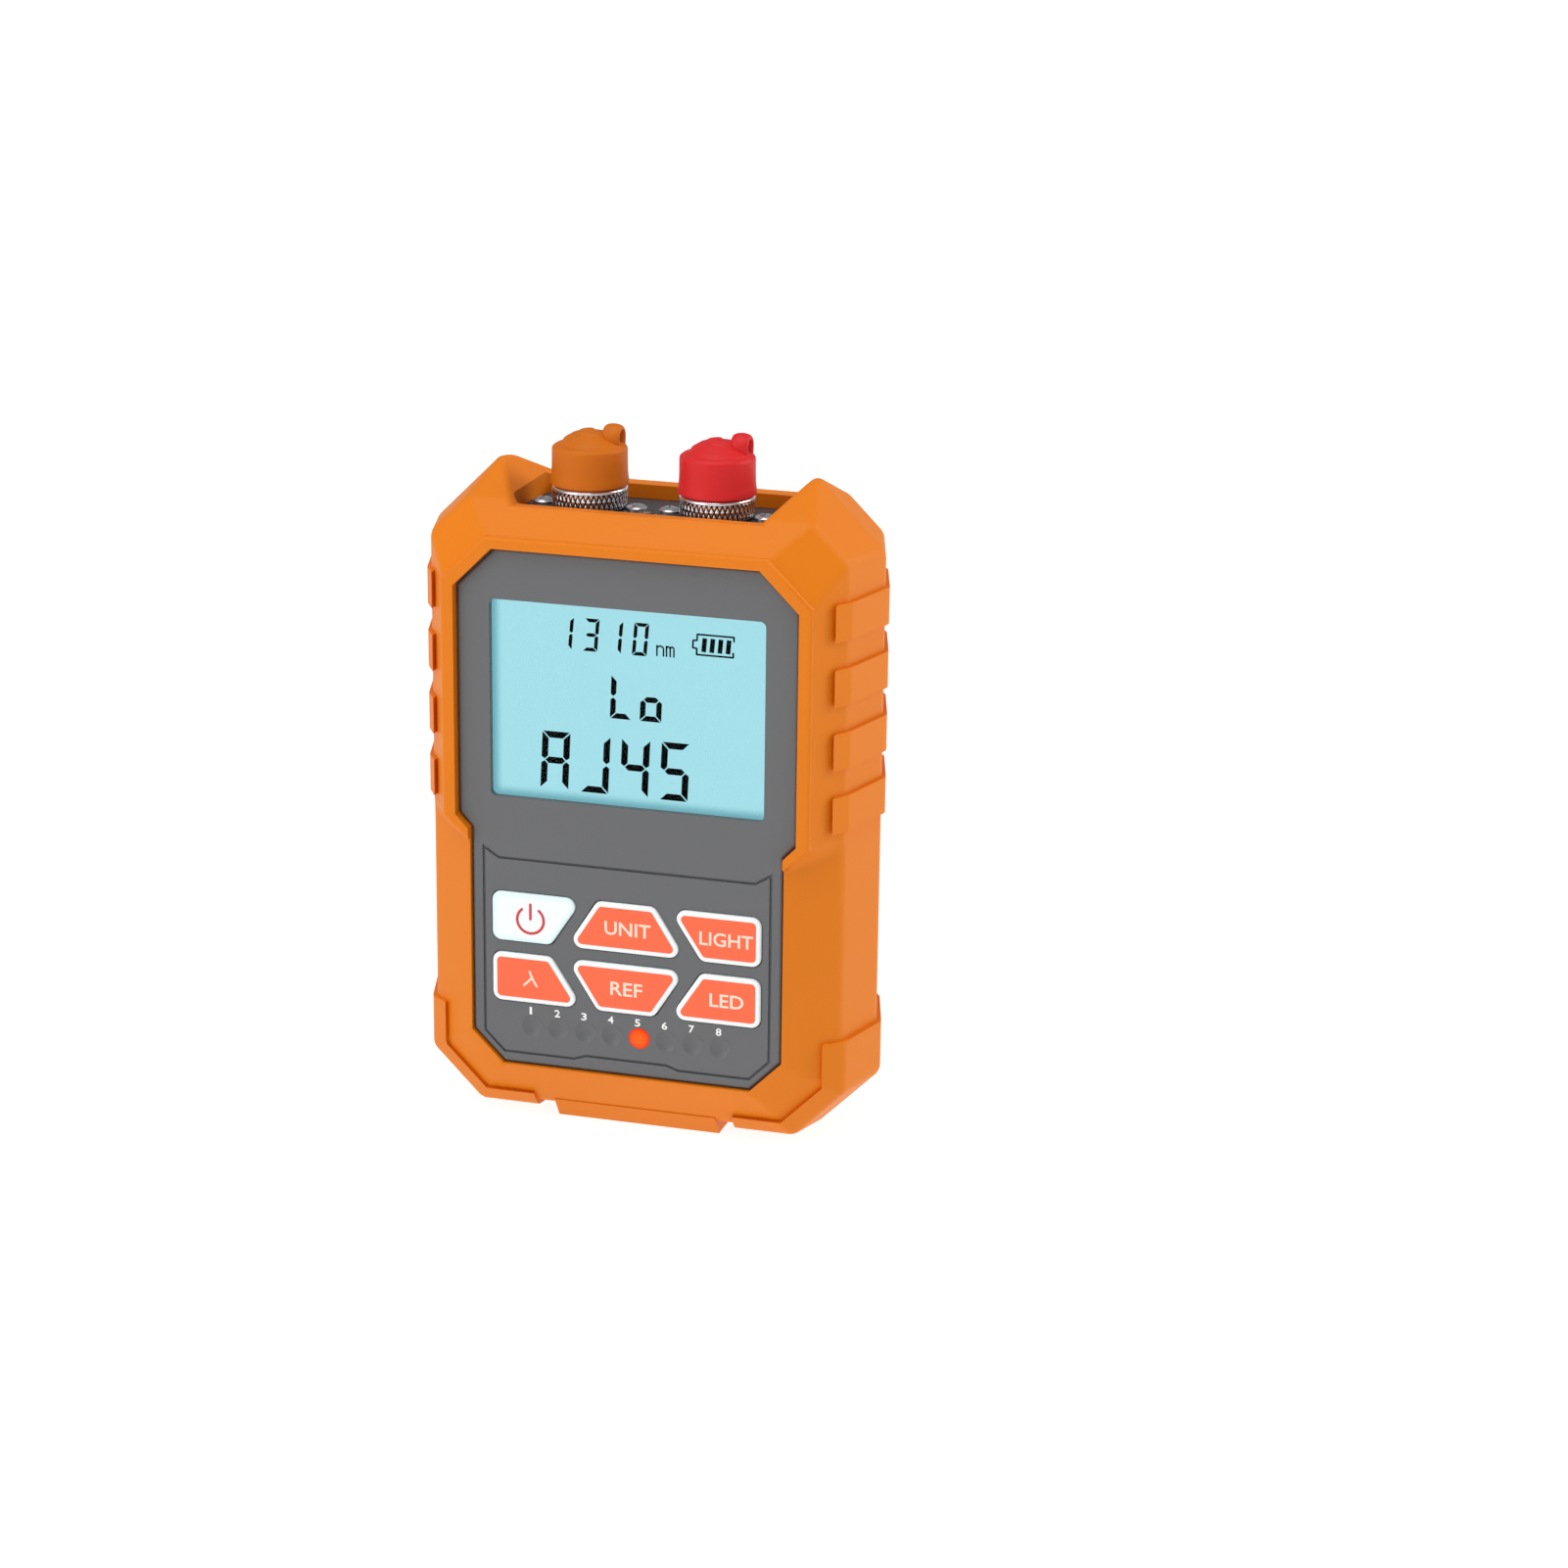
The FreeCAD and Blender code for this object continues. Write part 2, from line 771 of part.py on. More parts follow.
# Depths of the stack behind the panel, from the front to the back
PANEL_BACK = "(-panel_depth + case_wall)"
LENS_FRONT = "(-panel_depth + window_recess)"
LENS_BACK = f"({LENS_FRONT} + window_thick)"
LCD_FRONT = f"({LENS_BACK} + board_gap)"
LCD_BACK = f"({LCD_FRONT} + lcd_thick)"
FRAME_BACK = f"({LCD_BACK} + lcd_frame_thick)"
BOARD_FRONT = f"({FRAME_BACK} + board_gap)"
BOARD_BACK = f"({BOARD_FRONT} + board_thick)"
KEY_BACK = f"({PANEL_BACK} + key_flange_gap + key_flange_thick)"
MAT_BACK = f"({BOARD_FRONT} - dome_height - board_gap)"
MAT_FRONT = f"({MAT_BACK} - mat_thick)"
PAD_FRONT = f"({KEY_BACK} + key_travel + board_gap)"
PLATE_TOP = "(case_top + plate_proud)"
FLANGE_TOP = f"({PLATE_TOP} + flange_thick)"
JACK_FACE = f"({BOOT_MID_HALF} - boot_mid_wall - jack_set_back)"
CELL_Y = "(rear_face - door_thick - cell_gap - cell_radius)"
BAY_FRONT = f"({CELL_Y} - cell_radius - cell_gap)"
BAY_HALF = "(cell_count * (cell_radius + cell_gap / 2) + cell_gap / 2)"
BAY_LENGTH = "(cell_length + cell_nub + spring_room + 2 * contact_plate)"
HINGE_Z = "(-door_bottom + door_thick / 2)"
HINGE_Y = "(rear_face - door_thick / 2)"
BOSSES = [(x, z) for z in ("boss_top", "-boss_bottom") for x in ("boss_x", "-boss_x")]
BOARD_SCREWS = [
    ("board_screw_x", "board_screw_top"), ("-board_screw_x", "board_screw_top"),
    ("board_screw_low_x", "-board_screw_bottom"), ("-board_screw_low_x", "-board_screw_bottom"),
]


# Key shapes, each listed clockwise from its top left corner

KEY_TOPS = {"upper": "-key_row_top", "lower": "-(key_row_top + key_height + key_row_gap)"}


def key_points(row, top, bottom, grow="0"):
    """A key's four corners from its left and right limits at the top and bottom; grow moves all edges out."""
    high = f"{KEY_TOPS[row]} + ({grow})"
    low = f"{KEY_TOPS[row]} - key_height - ({grow})"
    return [
        (f"{top[0]} - ({grow})", high), (f"{top[1]} + ({grow})", high),
        (f"{bottom[1]} + ({grow})", low), (f"{bottom[0]} - ({grow})", low),
    ]


KEYS = {
    "key_power": ("upper", ("-key_outer", "-key_side_long"), ("-key_outer", "-key_side_short")),
    "key_unit": ("upper", ("-key_narrow", "key_narrow"), ("-key_wide", "key_wide")),
    "key_light": ("upper", ("key_side_long", "key_outer"), ("key_side_short", "key_outer")),
    "key_wavelength": ("lower", ("-key_outer", "-key_side_short"), ("-key_outer", "-key_side_long")),
    "key_ref": ("lower", ("-key_wide", "key_wide"), ("-key_narrow", "key_narrow")),
    "key_led": ("lower", ("key_side_short", "key_outer"), ("key_side_long", "key_outer")),
}


def key_block(name, key, front, back, grow="0", corner="key_corner"):
    row, top, bottom = KEYS[key]
    block = prism(name, key_points(row, top, bottom, grow), front, back)
    return fillet(name + "_rounded", block, corner, along_depth)


def key_middle(key):
    row, top, bottom = KEYS[key]
    middle = " + ".join(f"({limit})" for limit in (*top, *bottom))
    return f"({middle}) / 4", f"{KEY_TOPS[row]} - key_height / 2"


def key_cap(key):
    """A key: its body passes through the panel and a flange behind keeps it in."""
    front = "-panel_depth - key_proud"
    body = key_block(key + "_body", key, front, f"{KEY_BACK} - key_flange_thick / 2")
    soft = fillet(key + "_soft", body, "key_soft", at_depth(front))
    flange_front = f"{PANEL_BACK} + key_flange_gap"
    flange = key_block(key + "_flange", key, flange_front, KEY_BACK, "key_flange", "key_corner + key_flange")
    return fuse(key, soft, flange)


# Lamps

def lamp_x(index):
    return f"({index} - (lamp_count - 1) / 2) * lamp_pitch"


def lamp(index):
    """A light guide from the board to its hole, with a dished front and a foot on the board."""
    front = "-panel_depth + lamp_recess"
    x = lamp_x(index - 1)
    z = up("-lamp_row")
    guide = rod(f"lamp_{index}_guide", "lamp_radius", f"{BOARD_FRONT} - ({front})", x, front, z, "y")
    foot_front = f"{BOARD_FRONT} - lamp_foot"
    foot = rod(f"lamp_{index}_foot", "lamp_radius + lamp_flange", "lamp_foot", x, foot_front, z, "y")
    ball = doc.addObject("Part::Sphere", f"lamp_{index}_dish")
    place(ball, x, f"{front} - lamp_dish_radius + lamp_dish_depth", z)
    bind(ball, Radius="lamp_dish_radius")
    return cut(f"lamp_{index}", fuse(f"lamp_{index}_whole", guide, foot), ball)


# Case shells

def overlay_outline(inset="0"):
    """The outline of the key field: raised ears at the top, cut corners and a small step at the bottom."""
    slope = "(overlay_ear / overlay_ear_run)"
    lean = f"sqrt(1 + {slope} * {slope})"
    half = f"overlay_half - ({inset})"
    bottom = f"overlay_bottom - ({inset})"
    corner = f"overlay_corner - ({inset}) * {ROOT_TWO}"
    return both_sides([
        (f"overlay_half - overlay_ear_run + ({inset}) * ({lean} - 1) / {slope}", f"-overlay_top - ({inset})"),
        (half, f"-(overlay_top - overlay_ear) - ({inset}) * ({slope} + {lean})"),
        (half, f"-({corner} - ({half}))"),
        (f"{corner} - ({bottom})", f"-({bottom})"),
        ("overlay_notch_half + overlay_notch_slope", f"-({bottom})"),
        ("overlay_notch_half", f"-({bottom} - overlay_notch)"),
    ])


def lcd_outline(grow="0"):
    return [
        (f"-lcd_half - ({grow})", f"lcd_top + ({grow})"), (f"lcd_half + ({grow})", f"lcd_top + ({grow})"),
        (f"lcd_half + ({grow})", f"lcd_bottom - ({grow})"),
        (f"-lcd_half - ({grow})", f"lcd_bottom - ({grow})"),
    ]


def plate_slot(name, gap, low_gap="0"):
    """The port plate's stepped form with a gap all round, as a plate and as the slot cut for it."""
    upper = fillet(name + "_upper", box(
        name + "_upper_block", (f"-plate_half - {gap}", f"plate_half + {gap}"),
        (f"-plate_front - {gap}", f"plate_back + {gap}"),
        (up("case_top - case_wall - overlap"), up(f"{PLATE_TOP} + {gap}")),
    ), "plate_round", upright)
    lower = box(
        name + "_lower", (f"-plate_half - plate_flange - {gap}", f"plate_half + plate_flange + {gap}"),
        (f"-plate_front - plate_flange - {gap}", f"plate_back + plate_flange + {gap}"),
        (up(f"case_top - case_wall - plate_flange_thick - {low_gap}"), up("case_top - case_wall")),
    )
    return fuse(name, upper, lower)


def jack_case_hole(name):
    half = "(jack_width / 2 + jack_hole_gap)"
    low = up("-jack_centre - jack_height / 2 - jack_hole_gap")
    high = up("-jack_centre + jack_height / 2 + jack_hole_gap")
    return box(name, (f"-{FAR}", f"-{JACK_FACE} + jack_hole_depth"), (f"-{half}", half), (low, high))


def rods_along_depth(name, spots, radius, front, back):
    return group(name, *[
        rod(f"{name}_{i}", radius, f"({back}) - ({front})", x, front, up(z), "y")
        for i, (x, z) in enumerate(spots, start=1)
    ])


def parting_ring(name, outer_gap, front, inner):
    """The lap between the shells, a ring half a wall thick inside the parting line."""
    top = "case_top + boot_mid_wall"
    return prism(
        name, mid_outline(f"boot_mid_wall + case_wall / 2 - ({outer_gap})", top), front, "0",
        holes=[mid_outline(f"boot_mid_wall + case_wall + ({inner})", top)],
    )


def front_case():
    form = case_form("front_form", "0", -1)
    boss = prism("panel_boss", panel_outline(), "-panel_depth", f"-{SHOULDER} + overlap")
    soft_boss = fillet("panel_boss_soft", boss, "panel_edge_round", at_depth("-panel_depth"))
    hollow = fuse(
        "front_hollow", case_form("front_hollow_form", "case_wall", -1),
        prism("panel_hollow", panel_outline("case_wall"), PANEL_BACK, f"-{SHOULDER} + case_wall + overlap"),
    )
    shell = cut("front_shell", fuse("front_outer", form, soft_boss), hollow)
    posts = rods_along_depth(
        "board_posts", BOARD_SCREWS, "post_radius", f"{PANEL_BACK} - overlap", BOARD_FRONT,
    )
    bosses = common(
        "front_bosses", form,
        rods_along_depth("front_boss_rods", BOSSES, "boss_radius", "-boot_foot_depth", "0"),
    )
    whole = fuse("front_whole", shell, posts, bosses)
    lcd_block = prism("lcd_hole_block", lcd_outline(), f"-{FAR}", PANEL_BACK)
    lcd_hole = fillet("lcd_hole", lcd_block, "lcd_corner", along_depth)
    seat_back = f"{PANEL_BACK} + overlap"
    lens_seat = prism("lens_seat", lcd_outline("window_margin + key_gap"), LENS_FRONT, seat_back)
    groove = prism(
        "overlay_groove", overlay_outline(), f"-{FAR}", "-panel_depth + groove_depth",
        holes=[overlay_outline("groove_width")],
    )
    key_holes = [
        key_block(key + "_hole", key, f"-{FAR}", PANEL_BACK, "key_gap", "key_corner + key_gap")
        for key in KEYS
    ]
    lamp_spots = [(lamp_x(i), "-lamp_row") for i in range(int(size("lamp_count")))]
    lamp_holes = rods_along_depth("lamp_holes", lamp_spots, "lamp_radius + lamp_gap", f"-{FAR}", "0")
    screw_holes = rods_along_depth(
        "front_screw_holes", BOSSES, "screw_radius", "screw_seat - screw_length - overlap", "lap_depth",
    )
    board_holes = rods_along_depth(
        "board_post_holes", BOARD_SCREWS, "board_screw_radius",
        f"{BOARD_FRONT} - board_screw_length - overlap", BOARD_BACK,
    )
    return cut(
        "front_case", whole, lcd_hole, lens_seat, groove, *key_holes, lamp_holes, screw_holes, board_holes,
        parting_ring("front_rebate", "board_gap", "-lap_depth - board_gap", "overlap"),
        plate_slot("front_plate_slot", "fit_gap", "fit_gap"), jack_case_hole("front_jack_hole"),
    )


def bay_z(text):
    """A height in the battery bay, counted down from its top."""
    return up(f"bay_top - ({text})")


def door_outline(grow="0"):
    return [
        (f"-door_half - ({grow})", f"door_top + ({grow})"), (f"door_half + ({grow})", f"door_top + ({grow})"),
        (f"door_half + ({grow})", f"-door_bottom - ({grow})"),
        (f"-door_half - ({grow})", f"-door_bottom - ({grow})"),
    ]


def rear_case():
    form = case_form("rear_form", "0", 1)
    boss = prism("rear_boss", rear_window("window_gap"), f"{SHOULDER} - overlap", "rear_face")
    soft_boss = fillet("rear_boss_soft", boss, "panel_edge_round", at_depth("rear_face"))
    hollow = fuse(
        "rear_hollow", case_form("rear_hollow_form", "case_wall", 1),
        prism("rear_boss_hollow", rear_window("window_gap + case_wall"),
              "boot_ridge_depth", "rear_face - case_wall"),
    )
    shell = cut("rear_shell", fuse("rear_outer", form, soft_boss), hollow)
    bosses = common(
        "rear_bosses", form,
        rods_along_depth("rear_boss_rods", BOSSES, "boss_radius", "0", "boot_foot_depth"),
    )
    bay_block = box(
        "bay_block", (f"-{BAY_HALF} - bay_wall", f"{BAY_HALF} + bay_wall"),
        (f"{BAY_FRONT} - bay_wall", "rear_face - panel_edge_round"),
        (bay_z(f"{BAY_LENGTH} + bay_wall"), bay_z("-bay_wall")),
    )
    seat = box(
        "door_ledge", ("-door_half - door_ledge", "door_half + door_ledge"),
        ("rear_face - door_thick - door_lip", "rear_face - panel_edge_round"),
        (up("-door_bottom - door_ledge"), up("door_top + door_ledge")),
    )
    lap = parting_ring("rear_lap", "0", "-lap_depth", "0")
    whole = fuse("rear_whole", shell, bosses, bay_block, seat, lap)
    bay = box("bay_space", (f"-{BAY_HALF}", BAY_HALF), (BAY_FRONT, FAR), (bay_z(BAY_LENGTH), bay_z("0")))
    recess = prism("door_recess", door_outline("door_gap"), "rear_face - door_thick - door_gap / 2", FAR)
    thumb = rod(
        "thumb_notch", "latch_width / 2", "latch_depth * 2",
        "0", "rear_face - latch_depth", up("door_top + door_ledge"), "y",
    )
    pins = rod(
        "hinge_holes", "hinge_pin + hinge_gap", "2 * (door_half + hinge_knuckle / 2)",
        "-door_half - hinge_knuckle / 2", HINGE_Y, up(HINGE_Z), "x",
    )
    shanks = rods_along_depth(
        "rear_screw_holes", BOSSES, "screw_radius + screw_gap", "-lap_depth * 2", "screw_seat + overlap",
    )
    heads = rods_along_depth(
        "rear_head_holes", BOSSES, "screw_head_radius + screw_gap * 2", "screw_seat", FAR,
    )
    return cut(
        "rear_case", whole, bay, recess, thumb, pins, shanks, heads,
        plate_slot("rear_plate_slot", "fit_gap", "fit_gap"), jack_case_hole("rear_jack_hole"),
    )


# Battery door, cells and contacts

def battery_door():
    """A flat lid whose bottom edge is a round bead on the hinge line, with a stub pin at each end."""
    seat_back = "rear_face - door_thick"
    plate = box(
        "door_plate", ("-door_half", "door_half"), (seat_back, "rear_face"), (up(HINGE_Z), up("door_top")),
    )
    middle = size(up("0"))
    soft = fillet(
        "door_soft", plate, "door_corner",
        lambda edge: along_depth(edge) and corners(edge)[0].z > middle,
    )
    bead_rod = rod("door_bead", "door_thick / 2", "2 * door_half", "-door_half", HINGE_Y, up(HINGE_Z), "x")
    pins = rod(
        "door_pins", "hinge_pin", "2 * door_half + hinge_knuckle - 2 * door_gap",
        "-door_half - hinge_knuckle / 2 + door_gap", HINGE_Y, up(HINGE_Z), "x",
    )
    grip = group("door_grip", *[
        box(f"door_grip_{i}", ("-latch_width / 2", "latch_width / 2"), ("rear_face - grip_depth", FAR),
            (up(f"door_top - grip_top - grip_width - {i} * grip_pitch"),
             up(f"door_top - grip_top - {i} * grip_pitch")))
        for i in range(int(size("grip_count")))
    ])
    return cut("battery_door", fuse("door_whole", soft, bead_rod, pins), grip)


def cell_x(index):
    return f"({index} - (cell_count - 1) / 2) * (2 * cell_radius + cell_gap)"


def nub_up(index):
    return index % 2 == 0


def cell(index):
    """A round cell with its nub at the top or, in every second place, at the bottom."""
    straight = [
        ("0", "0"), ("cell_radius", "0"), ("cell_radius", "cell_length"),
        ("cell_nub_radius", "cell_length"), ("cell_nub_radius", "cell_length + cell_nub"),
        ("0", "cell_length + cell_nub"),
    ]
    turned = [
        ("0", "0"), ("cell_nub_radius", "0"), ("cell_nub_radius", "cell_nub"),
        ("cell_radius", "cell_nub"), ("cell_radius", "cell_length + cell_nub"),
        ("0", "cell_length + cell_nub"),
    ]
    top = "contact_plate" if nub_up(index) else "contact_plate + spring_room"
    base = bay_z(f"{top} + cell_length + cell_nub")
    return revolve(f"battery_{index + 1}", straight if nub_up(index) else turned, cell_x(index), CELL_Y, base)


def bay_plates():
    """The six contact plates, one at each end of each cell."""
    plates = []
    for i in range(int(size("cell_count"))):
        for end, low in (("top", "contact_plate"), ("bottom", BAY_LENGTH)):
            plates.append(box(
                f"plate_{end}_{i}",
                (f"{cell_x(i)} - contact_plate_half", f"{cell_x(i)} + contact_plate_half"),
                (f"{CELL_Y} - contact_plate_half", f"{CELL_Y} + contact_plate_half"),
                (bay_z(low), bay_z(f"{low} - contact_plate")),
            ))
    return group("battery_plates", *plates)


def bay_spring(index):
    """A coil between a cell's flat end and its plate, along short straight runs with mitred corners."""
    radius = size("spring_radius")
    run = size("spring_room - 2 * spring_wire - 2 * board_gap")
    per_turn = size("spring_runs")
    count = int(size("spring_turns") * per_turn)
    line = doc.addObject("Part::Polygon", f"spring_line_{index}")
    turns = [2 * math.pi * i / per_turn for i in range(count + 1)]
    line.Nodes = [
        Vector(radius * math.cos(turn), radius * math.sin(turn), run * i / count)
        for i, turn in enumerate(turns)
    ]
    section = doc.addObject("Part::RegularPolygon", f"spring_section_{index}")
    section.Placement = Placement(line.Nodes[0], Rotation(Vector(0, 0, 1), line.Nodes[1] - line.Nodes[0]))
    bind(section, Polygon="spring_wire_sides", Circumradius="spring_wire")
    wire = doc.addObject("Part::Sweep", f"battery_spring_{index}")
    wire.Sections = [section]
    wire.Spine = (line, [f"Edge{i}" for i in range(1, count + 1)])
    wire.Transition = "Right corner"
    wire.Solid = True
    low = f"{BAY_LENGTH} - contact_plate" if nub_up(index) else "contact_plate + spring_room"
    return place(wire, cell_x(index), CELL_Y, f"{bay_z(low)} + spring_wire + board_gap")


# Display

def lcd_window():
    return prism("lcd_window", lcd_outline("window_margin"), LENS_FRONT, LENS_BACK)


def lcd_panel():
    """The display cell, a front glass on a longer rear glass."""
    middle = f"{LCD_FRONT} + lcd_thick / 2"
    glass = prism("lcd_glass_front", lcd_outline("window_margin * 2 / 3"), LCD_FRONT, middle)
    back = prism("lcd_glass_back", lcd_outline("window_margin"), f"{LCD_FRONT} + lcd_thick / 2", LCD_BACK)
    return fuse("lcd_panel", glass, back)


def strip_outline(grow="0"):
    """The contact strip's outline, just under the picture; grow moves all edges out."""
    left = f"-lcd_half + strip_end - ({grow})"
    right = f"lcd_half - strip_end + ({grow})"
    top = f"lcd_bottom - strip_drop + ({grow})"
    bottom = f"lcd_bottom - strip_drop - strip_width - ({grow})"
    return [(left, top), (right, top), (right, bottom), (left, bottom)]


def lcd_frame():
    """The backlight tray that holds the display cell off the board."""
    tray = prism("lcd_tray", lcd_outline("window_margin + lcd_frame_wall + board_gap"), LCD_FRONT, FRAME_BACK)
    pocket_back = f"{LCD_BACK} + board_gap"
    pocket = prism("lcd_pocket", lcd_outline("window_margin + board_gap"), PANEL_BACK, pocket_back)
    slot = prism("lcd_strip_slot", strip_outline("board_gap"), LCD_FRONT, BOARD_BACK)
    return cut("lcd_frame", tray, pocket, slot)


def lcd_strip():
    """The rubber contact strip between the display cell and the board."""
    return prism("lcd_strip", strip_outline(), LCD_BACK, BOARD_FRONT)


# Keypad mat and switches

def keypad_mat():
    """A silicone sheet with a raised pad behind each key."""
    reach = "key_flange / 2"
    low = "key_row_top + 2 * key_height + key_row_gap + key_flange"
    sheet_block = prism("mat_sheet", [
        (f"-key_outer - {reach}", "-key_row_top + key_flange"),
        (f"key_outer + {reach}", "-key_row_top + key_flange"),
        (f"key_outer + {reach}", f"-({low})"), (f"-key_outer - {reach}", f"-({low})"),
    ], MAT_FRONT, MAT_BACK)
    pads = [
        key_block(key + "_pad", key, PAD_FRONT, f"{MAT_FRONT} + mat_thick / 2",
                  "-key_pad_inset", "key_pad_corner")
        for key in KEYS
    ]
    return fuse("keypad_mat", sheet_block, *pads)


def dome_switches():
    domes = []
    for key in KEYS:
        x, z = key_middle(key)
        front = f"{BOARD_FRONT} - dome_height"
        domes.append(rod(key + "_dome", "dome_radius", "dome_height", x, front, up(z), "y"))
    return group("dome_switches", *domes)


# Main board

def main_board():
    blank = prism("board_blank", outline(
        "board_half", "board_top", "board_half + board_top - board_corner",
        "board_bottom", "board_half + board_bottom - board_corner",
    ), BOARD_FRONT, BOARD_BACK)
    holes = rods_along_depth("board_holes", BOARD_SCREWS, "board_screw_radius + screw_gap", PANEL_BACK, "0")
    return cut("main_board", blank, holes)


def board_screws():
    heads = rods_along_depth(
        "board_heads", BOARD_SCREWS, "board_screw_head_radius",
        BOARD_BACK, f"{BOARD_BACK} + board_screw_head",
    )
    shanks = rods_along_depth(
        "board_shanks", BOARD_SCREWS, "board_screw_radius - thread_gap",
        f"{BOARD_FRONT} - board_screw_length", f"{BOARD_BACK} + board_screw_head / 2",
    )
    return pairs("board_screws", heads, shanks)


def case_screws():
    heads = rods_along_depth(
        "case_heads", BOSSES, "screw_head_radius", "screw_seat", "screw_seat + screw_head",
    )
    shanks = rods_along_depth(
        "case_shanks", BOSSES, "screw_radius - thread_gap",
        "screw_seat - screw_length", "screw_seat + screw_head / 2",
    )
    return pairs("case_screws", heads, shanks)


def pairs(name, first, second):
    """Fuses two groups piece by piece."""
    return group(name, *[
        fuse(f"{name}_{i}", a, b) for i, (a, b) in enumerate(zip(first.Links, second.Links), start=1)
    ])


def board_chips():
    """The packages on the board's back, each with its place and half its side."""
    spots = [
        ("-14", "24", "4.5"), ("-14", "14", "3"), ("-20", "33", "2.2"),
        ("14", "14", "2.6"), ("21", "6", "2.2"),
    ]
    return group("board_chips", *[
        box(f"chip_{i}", (f"{x} - {half}", f"{x} + {half}"), (BOARD_BACK, f"{BOARD_BACK} + chip_height"),
            (up(f"{z} - {half}"), up(f"{z} + {half}")))
        for i, (x, z, half) in enumerate(spots, start=1)
    ])


def buzzer():
    z = up("buzzer_z")
    body = rod("buzzer_body", "buzzer_radius", "buzzer_height", "0", BOARD_BACK, z, "y")
    middle = f"{BOARD_BACK} + buzzer_height / 2"
    hole = rod("buzzer_opening", "buzzer_hole", "buzzer_height", "0", middle, z, "y")
    return cut("buzzer", body, hole)


# Network jack

def jack_box(name, half_width, low, high, depth):
    return box(
        name, (f"-{JACK_FACE} - overlap", f"-{JACK_FACE} + {depth}"),
        (f"-({half_width})", half_width), (up(low), up(high)),
    )


def network_jack():
    body = box(
        "jack_body", (f"-{JACK_FACE}", f"-{JACK_FACE} + jack_length"), ("-jack_width / 2", "jack_width / 2"),
        (up("-jack_centre - jack_height / 2"), up("-jack_centre + jack_height / 2")),
    )
    mouth = jack_box("jack_mouth", "jack_mouth_width / 2", "-jack_centre - jack_mouth_height / 2",
                     "-jack_centre + jack_mouth_height / 2", "jack_depth")
    latch = jack_box("jack_latch_slot", "jack_latch_width / 2", "-jack_centre",
                     "-jack_centre + jack_mouth_height / 2 + jack_latch_height", "jack_latch_depth")
    foot = box(
        "jack_foot",
        (f"-{JACK_FACE} + jack_foot_start", f"-{JACK_FACE} + jack_foot_start + jack_foot_length"),
        (BOARD_BACK, "-jack_width / 2 + overlap"),
        (up("-jack_centre - jack_foot_half"), up("-jack_centre + jack_foot_half")),
    )
    return cut("network_jack", fuse("jack_whole", body, foot), mouth, latch)


def network_contacts():
    """Eight sprung wires that slope up from the floor of the jack."""
    floor = "-jack_centre - jack_mouth_height / 2"
    wires = []
    for i in range(int(size("contact_count"))):
        middle = f"({i} - (contact_count - 1) / 2) * contact_pitch"
        wires.append(prism(f"contact_{i + 1}", [
            (f"-{JACK_FACE} + contact_start", floor),
            (f"-{JACK_FACE} + contact_peak", f"{floor} + contact_rise"),
            (f"-{JACK_FACE} + contact_end", f"{floor} + contact_rise * 2 / 3"),
            (f"-{JACK_FACE} + contact_end", floor),
        ], f"{middle} - contact_width / 2", f"{middle} + contact_width / 2"))
    return group("network_contacts", *wires)


# Ports: side is -1 for the meter's input and 1 for the visible laser

def port_place(side):
    return ("port_x" if side > 0 else "-port_x"), "-port_y"


def port_plate():
    """The small plate in the case's top that carries the ports and the work light."""
    slab = plate_slot("plate_slab", "0")
    low = up("0")
    holes = [
        rod(f"plate_hole_{side}", "barrel_radius + port_gap", FAR, port_place(side)[0], "-port_y", low)
        for side in (-1, 1)
    ]
    screws = [
        rod(f"plate_screw_hole_{i}", "port_screw_radius", FAR, spot, "-port_y", low)
        for i, spot in enumerate(port_screw_spots())
    ]
    torch = rod("plate_torch_hole", "torch_radius + torch_gap", FAR, "0", "-torch_y", low)
    return cut("port_plate", slab, *holes, *screws, torch)


def port_screw_spots():
    return [f"{side} * port_x + {end} * port_screw_x" for side in (-1, 1) for end in (-1, 1)]


def flange_points(x):
    """A lozenge whose straight sides touch the middle circle and the two end circles."""
    lean = "((flange_mid_radius - flange_end_radius) / port_screw_x)"
    rise = f"sqrt(1 - {lean} * {lean})"
    spots = []
    turns = ((1, 1, 1), (1, -1, 1), (1, -1, 0), (-1, -1, 0), (-1, -1, 1), (-1, 1, 1), (-1, 1, 0), (1, 1, 0))
    for sx, sy, outer in turns:
        across = f"port_screw_x + flange_end_radius * {lean}" if outer else f"flange_mid_radius * {lean}"
        along = "flange_end_radius" if outer else "flange_mid_radius"
        spots.append((f"{x} + ({sx}) * ({across})", f"-port_y + ({sy}) * {along} * {rise}"))
    return spots


